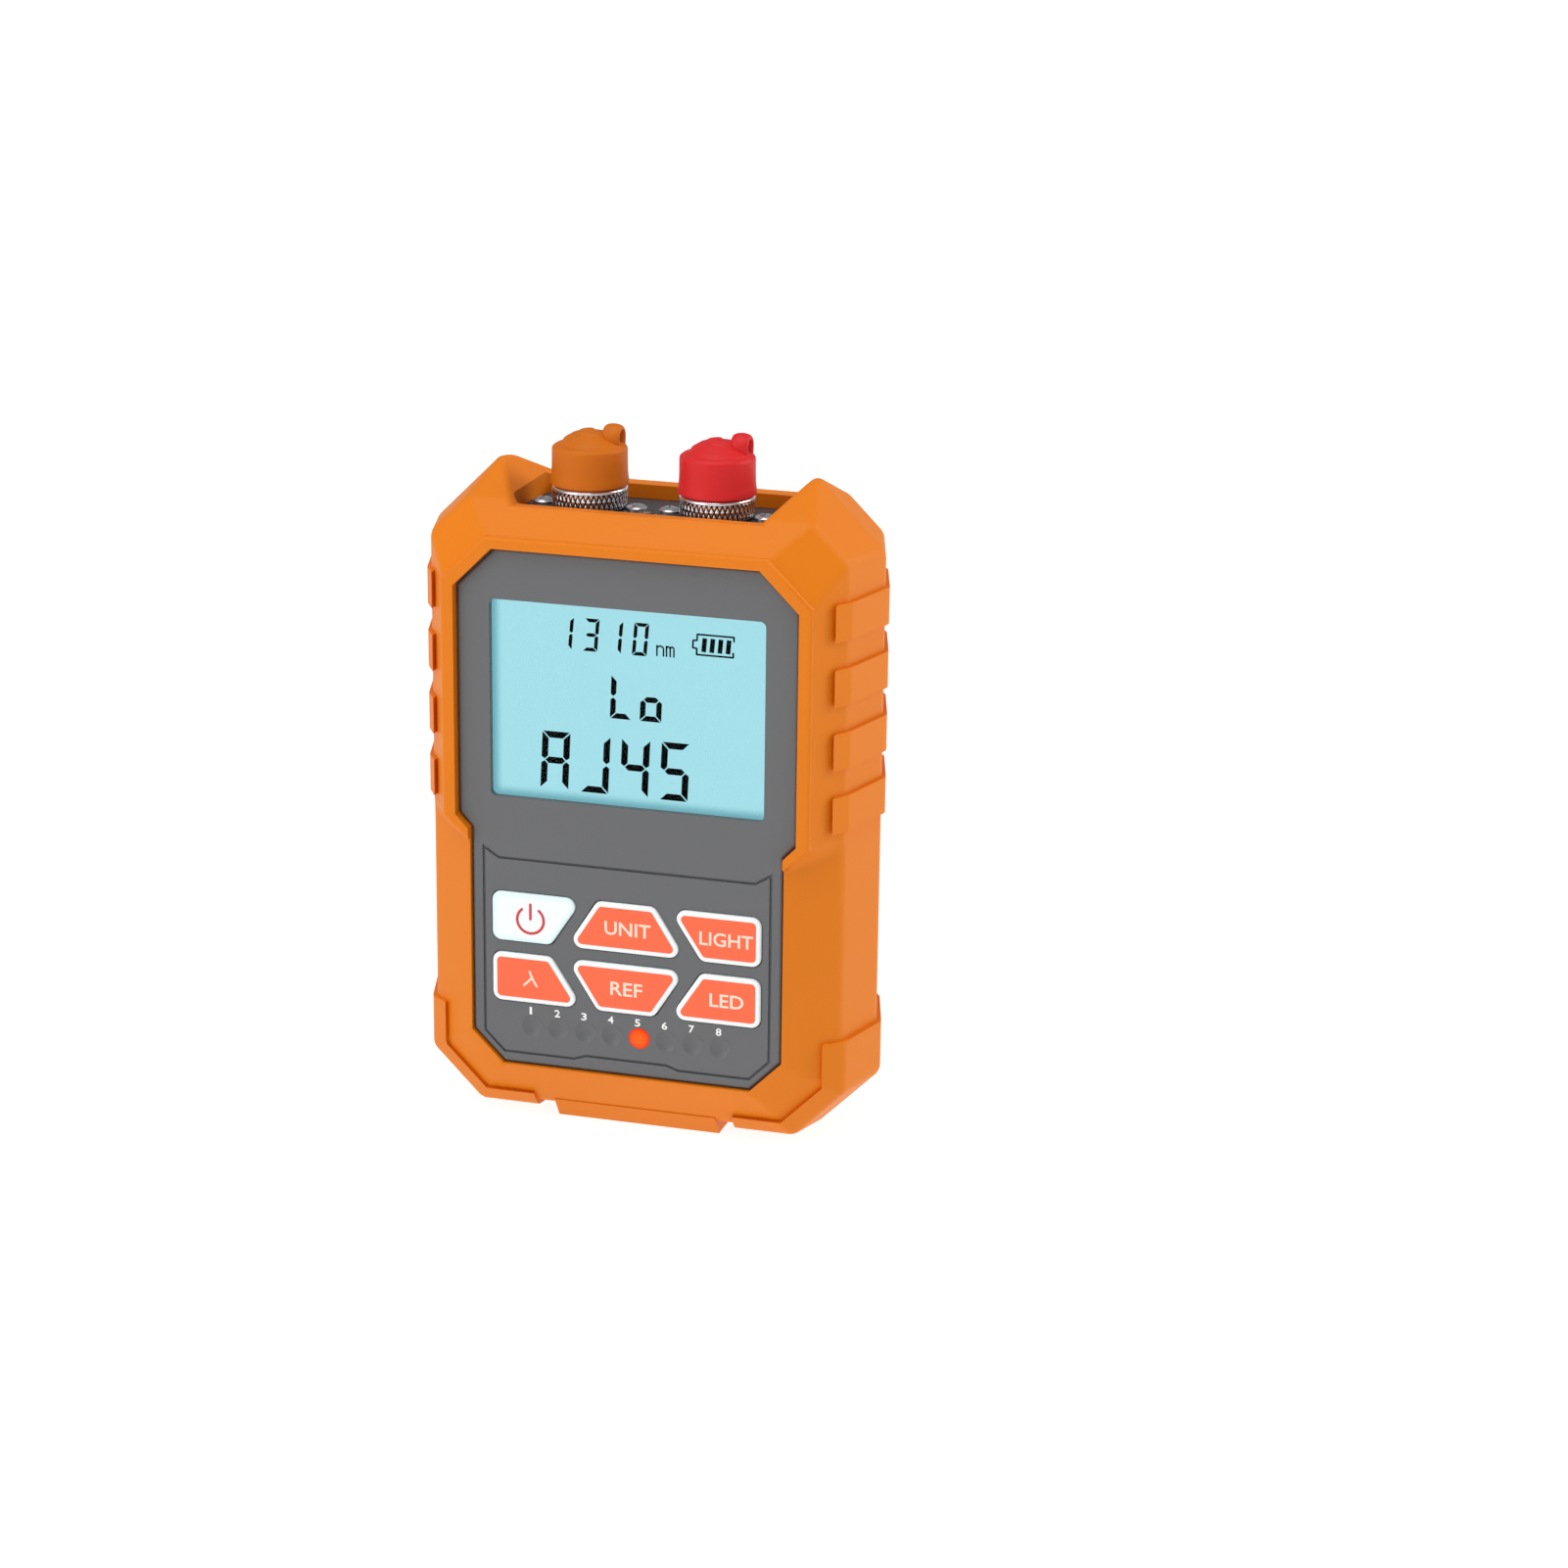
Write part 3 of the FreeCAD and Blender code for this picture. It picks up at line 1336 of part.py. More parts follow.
def port_flange(name, side):
    """The fixed adapter: a screwed flange and a threaded barrel bored for the ferrule sleeve."""
    x, y = port_place(side)
    lozenge = plan_prism(name + "_lozenge", flange_points(x), up(PLATE_TOP), up(FLANGE_TOP))
    rounds = [
        rod(f"{name}_round_{i}", radius, "flange_thick", spot, y, up(PLATE_TOP))
        for i, (spot, radius) in enumerate((
            (x, "flange_mid_radius"),
            (f"{x} - port_screw_x", "flange_end_radius"),
            (f"{x} + port_screw_x", "flange_end_radius"),
        ))
    ]
    low = up(f"{PLATE_TOP} - barrel_tail")
    height = f"(barrel_top - {PLATE_TOP} + barrel_tail)"
    bore = "ferrule_outer + thread_gap"
    barrel = revolve(name + "_barrel", [
        (bore, "0"), ("barrel_radius", "0"), ("barrel_radius", f"{height} - barrel_bevel"),
        ("barrel_radius - barrel_bevel", height), (bore, height),
    ], x, y, low)
    hole = rod(name + "_bore", bore, height, x, y, low)
    holes = [
        rod(f"{name}_screw_hole_{i}", "port_screw_radius", FAR,
            f"{x} + {i} * port_screw_x", y, up("case_top"))
        for i in (-1, 1)
    ]
    return cut(name, fuse(name + "_whole", lozenge, *rounds, barrel), hole, *holes)


def knurled_sleeve(name, side):
    """The turned ring round the barrel: a straight knurled band under a smooth collar."""
    x, y = port_place(side)
    inner = "barrel_radius + sleeve_gap"
    height = f"(sleeve_top - {FLANGE_TOP})"
    collar = "sleeve_radius - sleeve_collar_inset"
    return revolve(name, [
        (inner, "board_gap"), ("sleeve_radius - sleeve_bevel", "board_gap"),
        ("sleeve_radius", "sleeve_bevel"), ("sleeve_radius", f"{height} - sleeve_collar"),
        (collar, f"{height} - sleeve_collar + sleeve_collar_inset"),
        (collar, f"{height} - sleeve_bevel / 2"), (f"{collar} - sleeve_bevel / 2", height), (inner, height),
    ], x, y, up(FLANGE_TOP))


def ferrule_tube(name, side):
    """The ceramic tube in a port's barrel that lines a connector's ferrule up."""
    x, y = port_place(side)
    return revolve(name, [
        ("ferrule_radius", "0"), ("ferrule_outer", "0"),
        ("ferrule_outer", "ferrule_length"), ("ferrule_radius", "ferrule_length"),
    ], x, y, up("barrel_top - ferrule_inset - ferrule_length"))


def port_screws():
    """The four domed screws of the two port flanges."""
    shank = "port_screw_radius - thread_gap"
    screws = []
    for i, spot in enumerate(port_screw_spots(), start=1):
        screws.append(revolve(f"port_screw_{i}", [
            ("0", "-port_screw_length"), (shank, "-port_screw_length"), (shank, "0"),
            ("port_screw_head", "0"), ("port_screw_head", "port_screw_dome / 3"),
            ("port_screw_head * 4 / 5", "port_screw_dome * 3 / 4"),
            ("port_screw_head / 2", "port_screw_dome"),
            ("0", "port_screw_dome"),
        ], spot, "-port_y", up(FLANGE_TOP)))
    return group("port_screws", *screws)


def dust_cap(name, side):
    """A soft cap over the barrel, with a crowned top and an eyelet for a strap."""
    x, y = port_place(side)
    rim = "(sleeve_top + cap_rim_gap)"
    flare = "cap_radius + cap_rim_flare"
    inner = "barrel_radius + cap_inner_gap"
    ceiling = "(barrel_top + cap_top_gap)"
    dome = f"({ceiling} + cap_roof)"
    shoulder = f"({dome} - cap_crown)"
    body = revolve(name + "_body", [
        (inner, rim), (flare, rim), (flare, f"{rim} + cap_rim_height"),
        ("cap_radius", f"{rim} + cap_rim_height + cap_rim_blend"),
        ("cap_radius", f"{shoulder} - cap_round"), ("cap_radius - cap_round", f"{shoulder} + cap_round"),
        ("(cap_radius + cap_crown_radius) / 2 + cap_bulge", f"({shoulder} + {dome}) / 2 + cap_bulge"),
        ("cap_crown_radius", f"{dome} - cap_bulge"), ("cap_crown_radius / 2", dome), ("0", dome),
        ("0", ceiling), (inner, ceiling),
    ], x, y, "face_centre")
    ear_z = up(f"{dome} + ear_rise - ear_radius")
    ear_start = f"{x} + ear_x - ear_thick / 2"
    ear = rod(name + "_ear", "ear_radius", "ear_thick", ear_start, f"{y} + ear_y", ear_z, "x")
    soft_ear = fillet(name + "_ear_soft", ear, "ear_round", lambda edge: len(edge.Vertexes) == 1)
    hole = rod(name + "_ear_hole", "ear_hole", FAR, f"{x} + ear_x - {FAR} / 2", f"{y} + ear_y", ear_z, "x")
    trimmed = cut(name + "_ear_trimmed", soft_ear, hole)
    core = rod(name + "_core", inner, f"{ceiling} - {rim}", x, y, up(rim))
    return cut(name, fuse(name + "_whole", body, trimmed), core)


def photodiode_can():
    """The detector under the meter's port: a can on a wider header."""
    x, y = port_place(-1)
    return revolve("photodiode_can", [
        ("0", "0"), ("can_radius", "0"), ("can_radius", "can_header"),
        ("can_radius - can_step", "can_header"),
        ("can_radius - can_step", "can_height"), ("0", "can_height"),
    ], x, y, up(f"{PLATE_TOP} - barrel_tail - can_height"))


def laser_module():
    """The visible laser under the other port: a stepped brass body."""
    x, y = port_place(1)
    return revolve("laser_module", [
        ("0", "0"), ("laser_tail_radius", "0"), ("laser_tail_radius", "laser_tail"),
        ("laser_radius", "laser_tail"), ("laser_radius", "laser_length"), ("0", "laser_length"),
    ], x, y, up(f"{PLATE_TOP} - barrel_tail - laser_length"))


def torch_lamp():
    """The small work light in the port plate, a domed lens on a straight body."""
    return revolve("torch_lamp", [
        ("0", "0"), ("torch_flange", "0"), ("torch_flange", "torch_flange_thick"),
        ("torch_radius", "torch_flange_thick"), ("torch_radius", "torch_length - torch_dome"),
        ("torch_radius * 3 / 4", "torch_length - torch_dome / 4"), ("0", "torch_length"),
    ], "0", "-torch_y", up("case_top - case_wall - plate_flange_thick - torch_flange_thick"))


def finish(item, label):
    """Marks an object as one sub-part; the label names its file."""
    item.Label = label
    subparts.append(item)
    return item


subparts = []
finish(rubber_boot(), "rubber_boot")
finish(front_case(), "front_case")
finish(rear_case(), "rear_case")
finish(port_plate(), "port_plate")
finish(lcd_window(), "lcd_window")
finish(lcd_panel(), "lcd_panel")
finish(lcd_frame(), "lcd_frame")
finish(lcd_strip(), "lcd_strip")
for key in KEYS:
    finish(key_cap(key), key)
for number in range(1, int(size("lamp_count")) + 1):
    finish(lamp(number), f"lamp_{number}")
finish(keypad_mat(), "keypad_mat")
finish(dome_switches(), "dome_switches")
finish(main_board(), "main_board")
finish(board_chips(), "board_chips")
finish(board_screws(), "board_screws")
finish(case_screws(), "case_screws")
finish(buzzer(), "buzzer")
finish(network_jack(), "network_jack")
finish(network_contacts(), "network_contacts")
for port, side in (("meter", -1), ("laser", 1)):
    finish(port_flange(f"{port}_flange", side), f"{port}_flange")
    finish(knurled_sleeve(f"{port}_sleeve", side), f"{port}_sleeve")
    finish(ferrule_tube(f"{port}_ferrule", side), f"{port}_ferrule")
    finish(dust_cap(f"{port}_cap", side), f"{port}_cap")
finish(port_screws(), "port_screws")
finish(photodiode_can(), "photodiode_can")
finish(laser_module(), "laser_module")
finish(torch_lamp(), "torch_lamp")
finish(battery_door(), "battery_door")
cells = range(int(size("cell_count")))
for number in cells:
    finish(cell(number), f"battery_{number + 1}")
finish(group("battery_springs", *[bay_spring(number) for number in cells]), "battery_springs")
finish(bay_plates(), "battery_plates")

doc.recompute()
os.makedirs("parts", exist_ok=True)
for item in doc.Objects:
    if "Invalid" in item.State or "Error" in item.State:
        raise RuntimeError(f"{item.Label} did not compute: {item.State}")
for item in subparts:
    shape = item.Shape
    if shape.isNull() or not shape.isValid() or not shape.Solids:
        raise RuntimeError(f"{item.Label} is not a valid solid")
    shape.exportStep(f"parts/{item.Label}.step")
    limits = shape.BoundBox
    print(
        f"{item.Label}: {len(shape.Solids)} solid, {shape.Volume:.1f} mm3, "
        f"x {limits.XMin:.2f} {limits.XMax:.2f} y {limits.YMin:.2f} {limits.YMax:.2f} "
        f"z {limits.ZMin:.2f} {limits.ZMax:.2f}"
    )
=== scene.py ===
"""Looks, light and camera of a hand-held optical power meter standing in its rubber boot."""

import math

import bmesh
import bpy
import numpy as np
from mathutils import Matrix, Vector


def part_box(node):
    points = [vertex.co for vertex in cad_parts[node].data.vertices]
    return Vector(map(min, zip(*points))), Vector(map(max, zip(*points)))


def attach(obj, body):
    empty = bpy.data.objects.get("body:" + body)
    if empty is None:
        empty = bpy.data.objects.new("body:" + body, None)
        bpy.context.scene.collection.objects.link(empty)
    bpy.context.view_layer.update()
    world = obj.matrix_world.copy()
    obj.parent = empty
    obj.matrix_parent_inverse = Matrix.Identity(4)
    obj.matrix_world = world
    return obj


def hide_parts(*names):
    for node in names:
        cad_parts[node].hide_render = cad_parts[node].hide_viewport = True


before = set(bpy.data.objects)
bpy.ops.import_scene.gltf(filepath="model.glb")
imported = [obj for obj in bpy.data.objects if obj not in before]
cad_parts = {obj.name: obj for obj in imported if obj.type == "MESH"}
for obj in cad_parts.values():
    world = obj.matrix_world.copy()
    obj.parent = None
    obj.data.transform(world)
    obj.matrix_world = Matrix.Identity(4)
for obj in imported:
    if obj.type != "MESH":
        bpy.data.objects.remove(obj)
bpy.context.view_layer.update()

MM = 0.001
BODY = "meter"
FULL_TURN = 2.0 * np.pi
WHITE = (1.0, 1.0, 1.0, 1.0)

# Places in mm: x to the right of the middle, y away from the viewer, z above the floor
PANEL_FACE = -16.8
KEY_FACE = -17.2
KEY_BACK = -13.7
KEY_PRINT = KEY_FACE - 0.03
PANEL_PRINT = PANEL_FACE - 0.03
DISPLAY_INK = -14.775
DISPLAY_SHIFT = (0.35, 0.15)
LAMP_HEIGHT = 18.2
PORT_X = 10.8
PORT_Y = -2.7
SLEEVE_LOW = 104.25
SLEEVE_TOP = 107.9
CAP_RIM = 108.0

# Sizes in mm
PRINT_THICK = 0.02
KEY_HEIGHT = 8.5
KEY_ROUND = 1.55
KEY_RIM = 0.8
LAMP_PITCH = 4.65

LIT_LAMP = 5

# Each row's top and its keys: left and right end of a key's upper edge, then of its lower edge
KEY_ROWS = (
    (41.5, {
        "power": (-23.1, -7.4, -23.1, -12.95),
        "unit": (-4.9, 4.9, -10.3, 10.3),
        "light": (7.4, 23.1, 12.95, 23.1),
    }),
    (30.9, {
        "wavelength": (-23.1, -12.95, -23.1, -7.4),
        "ref": (-10.3, 10.3, -4.9, 4.9),
        "led": (12.95, 23.1, 7.4, 23.1),
    }),
)

# The display's lit field along an axis: its two edges, and how far the painted edge shade reaches in from the
# first
DISPLAY_FIELD = (("X", -23.4, 23.4, 1.7), ("Z", 57.6, 91.3, 1.9))

# The colour sockets of a Mix node, by number
MIX_A = 6
MIX_B = 7
MIX_RESULT = 2


def paint(red, green, blue):
    """A colour read off a screen, 0 to 255, as the linear light that a shader wants."""
    part = np.array([red, green, blue]) / 255.0
    light = np.where(part <= 0.04045, part / 12.92, ((part + 0.055) / 1.055) ** 2.4)
    return (*light.tolist(), 1.0)


def put_in_scene(name, data):
    """A new object that holds the data, linked to the scene."""
    made = bpy.data.objects.new(name, data)
    bpy.context.scene.collection.objects.link(made)
    return made


# Camera and light


def stand_camera():
    """The camera of the photograph: from in front, 15.6 degrees to the right and 17.5 degrees up."""
    place = (186.6 * MM, -589.8 * MM, 252.2 * MM)
    right = Vector((0.962, 0.273, 0.013)).normalized()
    down = Vector((0.094, -0.286, -0.954)).normalized()
    back = right.cross(-down).normalized()
    up = back.cross(right)
    data = bpy.data.cameras.new("camera")
    data.lens = 89.6
    data.sensor_width = 36.0
    camera = put_in_scene("camera", data)
    camera.matrix_world = Matrix((
        (right.x, up.x, back.x, place[0]),
        (right.y, up.y, back.y, place[1]),
        (right.z, up.z, back.z, place[2]),
        (0, 0, 0, 1),
    ))
    bpy.context.scene.camera = camera


def soft_light(name, place, width, height, power):
    """A rectangular softbox at a place in metres, turned to the middle of the meter."""
    aim = Vector((0.0, 0.0, 0.06))
    data = bpy.data.lights.new(name, "AREA")
    data.shape = "RECTANGLE"
    data.size = width
    data.size_y = height
    data.energy = power
    lamp = put_in_scene(name, data)
    lamp.location = place
    lamp.rotation_euler = (aim - Vector(place)).to_track_quat("-Z", "Y").to_euler()


def light_room():
    """White surroundings, a broad light overhead, one behind on the right and one in front on the left."""
    world = bpy.data.worlds.new("pale_room")
    world.use_nodes = True
    sky = world.node_tree.nodes["Background"]
    sky.inputs["Color"].default_value = WHITE
    sky.inputs["Strength"].default_value = 0.32
    bpy.context.scene.world = world
    soft_light("overhead", (-0.1, -0.35, 1.1), width=0.9, height=0.9, power=7.5)
    soft_light("right_behind", (1.0, 0.5, 0.6), width=0.6, height=0.8, power=6.8)
    soft_light("left_front", (-0.75, -0.85, 0.5), width=0.6, height=0.8, power=3.6)
    bpy.context.scene.view_settings.view_transform = "Standard"


# Node groups


def node_group(name, inputs, outputs):
    """An empty shader group with its sockets: (name, kind, start value) in, (name, kind) out."""
    group = bpy.data.node_groups.new(name, "ShaderNodeTree")
    for label, kind, start in inputs:
        socket = group.interface.new_socket(label, in_out="INPUT", socket_type=kind)
        socket.default_value = start
    for label, kind in outputs:
        group.interface.new_socket(label, in_out="OUTPUT", socket_type=kind)
    return group, group.nodes.new("NodeGroupInput"), group.nodes.new("NodeGroupOutput")


def node(tree, kind, at=(), **values):
    """A new node with its values.

    A value whose name is one of the node's own settings sets it. Others set the socket of that name, where
    underscores stand for spaces. What at gives sets sockets by number.
    """
    made = tree.nodes.new(kind)
    for name, value in values.items():
        if hasattr(made, name):
            setattr(made, name, value)
        else:
            made.inputs[name.replace("_", " ")].default_value = value
    for number, value in dict(at).items():
        made.inputs[number].default_value = value
    return made


def wire(tree, *runs):
    """Links nodes: each run is a node and its output, then a node and its input."""
    for source, output, target, entry in runs:
        tree.links.new(source.outputs[output], target.inputs[entry])


def moulded_grain_group():
    """Fine pits of a moulded surface as a normal, and a roughness that drifts slowly round its mean."""
    group, taken, given = node_group("moulded_grain", [
        ("Scale", "NodeSocketFloat", 1500.0),
        ("Depth", "NodeSocketFloat", 0.00003),
        ("Roughness", "NodeSocketFloat", 0.5),
        ("Spread", "NodeSocketFloat", 0.05),
    ], [("Normal", "NodeSocketVector"), ("Roughness", "NodeSocketFloat")])
    place = node(group, "ShaderNodeTexCoord")
    pits = node(group, "ShaderNodeTexNoise", Detail=2.0, Roughness=0.55)
    bump = node(group, "ShaderNodeBump", Strength=1.0)
    slow = node(group, "ShaderNodeTexNoise", Scale=90.0, Detail=3.0)
    centred = node(group, "ShaderNodeMath", operation="SUBTRACT", at={1: 0.5})
    total = node(group, "ShaderNodeMath", operation="MULTIPLY_ADD")
    wire(
        group,
        (place, "Object", pits, "Vector"),
        (taken, "Scale", pits, "Scale"),
        (pits, "Fac", bump, "Height"),
        (taken, "Depth", bump, "Distance"),
        (bump, "Normal", given, "Normal"),
        (place, "Object", slow, "Vector"),
        (slow, "Fac", centred, 0),
        (centred, 0, total, 0),
        (taken, "Spread", total, 1),
        (taken, "Roughness", total, 2),
        (total, 0, given, "Roughness"),
    )
    return group


def tone_drift_group():
    """A colour that grows a little lighter and darker over centimetres."""
    group, taken, given = node_group("tone_drift", [
        ("Colour", "NodeSocketColor", (0.5, 0.5, 0.5, 1.0)),
        ("Scale", "NodeSocketFloat", 40.0),
        ("Amount", "NodeSocketFloat", 0.05),
    ], [("Colour", "NodeSocketColor")])
    place = node(group, "ShaderNodeTexCoord")
    cloud = node(group, "ShaderNodeTexNoise", Detail=3.0, Roughness=0.6)
    centred = node(group, "ShaderNodeMath", operation="SUBTRACT", at={1: 0.5})
    swing = node(group, "ShaderNodeMath", operation="MULTIPLY_ADD", at={2: 1.0})
    shade = node(group, "ShaderNodeHueSaturation")
    wire(
        group,
        (place, "Object", cloud, "Vector"),
        (taken, "Scale", cloud, "Scale"),
        (cloud, "Fac", centred, 0),
        (centred, 0, swing, 0),
        (taken, "Amount", swing, 1),
        (swing, 0, shade, "Value"),
        (taken, "Colour", shade, "Color"),
        (shade, "Color", given, "Colour"),
    )
    return group


def lathe_marks_group():
    """Fine rings left by turning, along one axis of the piece, as a normal and a roughness."""
    group, taken, given = node_group("lathe_marks", [
        ("Pitch", "NodeSocketFloat", 9000.0),
        ("Depth", "NodeSocketFloat", 0.000004),
        ("Roughness", "NodeSocketFloat", 0.2),
    ], [("Normal", "NodeSocketVector"), ("Roughness", "NodeSocketFloat")])
    place = node(group, "ShaderNodeTexCoord")
    squash = node(group, "ShaderNodeMapping", Scale=(0.02, 0.02, 1.0))
    marks = node(group, "ShaderNodeTexNoise", Detail=2.0)
    bump = node(group, "ShaderNodeBump", Strength=0.6)
    uneven = node(group, "ShaderNodeMath", operation="MULTIPLY_ADD", at={1: 0.16})
    wire(
        group,
        (place, "Object", squash, "Vector"),
        (squash, "Vector", marks, "Vector"),
        (taken, "Pitch", marks, "Scale"),
        (marks, "Fac", bump, "Height"),
        (taken, "Depth", bump, "Distance"),
        (marks, "Fac", uneven, 0),
        (taken, "Roughness", uneven, 2),
        (bump, "Normal", given, "Normal"),
        (uneven, 0, given, "Roughness"),
    )
    return group


def marked_band_group():
    """Two colours parted at a value of an attribute that the mesh carries, with a thin soft border."""
    group, taken, given = node_group("marked_band", [
        ("Mark", "NodeSocketFloat", 0.0),
        ("Border", "NodeSocketFloat", 0.8),
        ("Below", "NodeSocketColor", WHITE),
        ("Above", "NodeSocketColor", (0.5, 0.5, 0.5, 1.0)),
    ], [("Colour", "NodeSocketColor")])
    past = node(group, "ShaderNodeMath", operation="SUBTRACT")
    border = node(group, "ShaderNodeMath", operation="MULTIPLY_ADD", use_clamp=True, at={1: 14.0, 2: 0.5})
    mix = node(group, "ShaderNodeMix", data_type="RGBA")
    wire(
        group,
        (taken, "Mark", past, 0),
        (taken, "Border", past, 1),
        (past, 0, border, 0),
        (border, 0, mix, "Factor"),
        (taken, "Below", mix, MIX_A),
        (taken, "Above", mix, MIX_B),
        (mix, MIX_RESULT, given, "Colour"),
    )
    return group


GRAIN = moulded_grain_group()
DRIFT = tone_drift_group()
LATHE = lathe_marks_group()
BAND = marked_band_group()


# Materials


def use_group(tree, group, **values):
    """A group node in a material, with the start values of its sockets."""
    made = tree.nodes.new("ShaderNodeGroup")
    made.node_tree = group
    for name, value in values.items():
        made.inputs[name].default_value = value
    return made


def bare_material(name, **values):
    """A material with a Principled shader alone, then its node tree and that shader.

    The values set the shader's sockets; underscores in their names stand for spaces.
    """
    made = bpy.data.materials.new(name)
    made.use_nodes = True
    shader = made.node_tree.nodes["Principled BSDF"]
    for label, value in values.items():
        shader.inputs[label.replace("_", " ")].default_value = value
    return made, made.node_tree, shader


def lead_in(tree, shader, colour, surface, socket="Base Color"):
    """Leads a group's colour into a socket of the shader, and another's normal and roughness into theirs."""
    wire(
        tree,
        (colour, "Colour", shader, socket),
        (surface, "Normal", shader, "Normal"),
        (surface, "Roughness", shader, "Roughness"),
    )


def moulded(name, tone, roughness, depth=0.02, scale=1500.0, drift=0.05, metallic=0.0, specular=0.5):
    """Moulded rubber or plastic: a tone that drifts a little, pits of a depth in mm and an uneven gloss."""
    made, tree, shader = bare_material(name, Metallic=metallic, Specular_IOR_Level=specular)
    colour = use_group(tree, DRIFT, Colour=tone, Amount=drift * 2)
    grain = use_group(tree, GRAIN, Scale=scale, Depth=depth * MM, Roughness=roughness, Spread=0.06)
    lead_in(tree, shader, colour, grain)
    return made


def turned(name, tone, roughness, groove_painted_shade=None):
    """Turned and plated metal; where the mesh carries a groove mark, the grooves take a darker tone, which is
    painted shade.
    """
    made, tree, shader = bare_material(name, Metallic=1.0)
    marks = use_group(tree, LATHE, Roughness=roughness)
    colour = use_group(tree, DRIFT, Colour=tone, Scale=200.0, Amount=0.12)
    # Painted shade: a darker tone where the groove mark is high
    if groove_painted_shade:
        groove = node(tree, "ShaderNodeAttribute", attribute_name="groove")
        band = use_group(tree, BAND, Border=0.76, Above=groove_painted_shade)
        wire(tree, (groove, "Fac", band, "Mark"), (colour, "Colour", band, "Below"))
        colour = band
    lead_in(tree, shader, colour, marks)
    return made


def rimmed_key(name, rim_tone, tone):
    """A silicone key whose outer rim is left in a pale tone round the coloured field."""
    made, tree, shader = bare_material(name)
    from_edge = node(tree, "ShaderNodeAttribute", attribute_name="from_edge")
    band = use_group(tree, BAND, Border=KEY_RIM, Below=rim_tone, Above=tone)
    colour = use_group(tree, DRIFT, Scale=120.0, Amount=0.06)
    grain = use_group(tree, GRAIN, Scale=2600.0, Depth=0.008 * MM, Roughness=0.5, Spread=0.06)
    wire(tree, (from_edge, "Fac", band, "Mark"), (band, "Colour", colour, "Colour"))
    lead_in(tree, shader, colour, grain)
    return made


def glowing(name, tone, middle_glow, rim_glow, strength):
    """A lamp lit from behind: the mesh's mark "inward" blends the rim's glow into the middle's."""
    made, tree, shader = bare_material(
        name, Base_Color=tone, Specular_IOR_Level=0.15, Emission_Strength=strength,
    )
    inward = node(tree, "ShaderNodeAttribute", attribute_name="inward")
    mix = node(tree, "ShaderNodeMix", data_type="RGBA", at={MIX_A: rim_glow, MIX_B: middle_glow})
    colour = use_group(tree, DRIFT, Scale=60.0, Amount=0.05)
    grain = use_group(tree, GRAIN, Scale=3000.0, Depth=0.003 * MM, Roughness=0.3, Spread=0.05)
    wire(tree, (inward, "Fac", mix, "Factor"), (mix, MIX_RESULT, colour, "Colour"))
    lead_in(tree, shader, colour, grain, "Emission Color")
    return made


def backlit_display(name, glow, shade):
    """The backlit field: bright inside, falling smoothly to a deeper tone along the window's edges.

    The deeper tone is painted shade of the window's recess walls. It reaches furthest in from the left and
    lower edges, and a third as far from the other two.
    """
    made, tree, shader = bare_material(
        name, Base_Color=(0.02, 0.03, 0.035, 1.0), Specular_IOR_Level=0.1, Emission_Strength=0.95,
        Roughness=0.4,
    )
    place = node(tree, "ShaderNodeTexCoord")
    axes = node(tree, "ShaderNodeSeparateXYZ")
    wire(tree, (place, "Object", axes, 0))
    fades = []
    for axis, low, high, reach in DISPLAY_FIELD:
        for edge, full in ((low, low + reach), (high, high - reach / 3)):
            fade = node(
                tree, "ShaderNodeMapRange", interpolation_type="SMOOTHSTEP",
                From_Min=edge * MM, From_Max=full * MM,
            )
            wire(tree, (axes, axis, fade, "Value"))
            fades.append(fade)
    inside = fades[0]
    for fade in fades[1:]:
        product = node(tree, "ShaderNodeMath", operation="MULTIPLY")
        wire(tree, (inside, 0, product, 0), (fade, 0, product, 1))
        inside = product
    # Painted shade: the deeper tone along the window's edges stands for the recess walls' shadow
    mix = node(tree, "ShaderNodeMix", data_type="RGBA", at={MIX_A: shade})
    colour = use_group(tree, DRIFT, Scale=35.0, Amount=0.03, Colour=glow)
    wire(
        tree,
        (inside, 0, mix, "Factor"),
        (colour, "Colour", mix, MIX_B),
        (mix, MIX_RESULT, shader, "Emission Color"),
    )
    return made


def clear(name, tone, roughness, bend=1.46):
    """A clear moulded or glass piece with the faintest unevenness; bend is its index of refraction."""
    made, tree, shader = bare_material(name, Transmission_Weight=1.0, IOR=bend)
    colour = use_group(tree, DRIFT, Colour=tone, Amount=0.02)
    grain = use_group(tree, GRAIN, Scale=900.0, Depth=0.002 * MM, Roughness=roughness, Spread=0.02)
    lead_in(tree, shader, colour, grain)
    return made


def circuit_board(name):
    """Green lacquer over fine copper lines, which show as lighter and darker bars in both directions."""
    made, tree, shader = bare_material(name)
    place = node(tree, "ShaderNodeTexCoord")
    upright = node(tree, "ShaderNodeMapping", Rotation=(math.pi / 2, 0.0, 0.0))
    lines = node(
        tree, "ShaderNodeTexBrick", Scale=260.0, Mortar_Size=0.06, Mortar=(0.02, 0.2, 0.08, 1.0),
        Color1=(0.008, 0.09, 0.035, 1.0), Color2=(0.01, 0.12, 0.045, 1.0),
    )
    grain = use_group(tree, GRAIN, Scale=700.0, Depth=0.01 * MM, Roughness=0.32, Spread=0.06)
    wire(
        tree,
        (place, "Object", upright, "Vector"),
        (upright, "Vector", lines, "Vector"),
        (lines, "Color", shader, "Base Color"),
        (grain, "Normal", shader, "Normal"),
        (grain, "Roughness", shader, "Roughness"),
    )
    return made


def slot_of(material):
    """The slot that a material is for: its name without the number that Blender may add."""
    return material.name.split(".")[0]


PANEL_GREY = paint(99, 100, 102)
WHITE_SILICONE = paint(246, 250, 250)

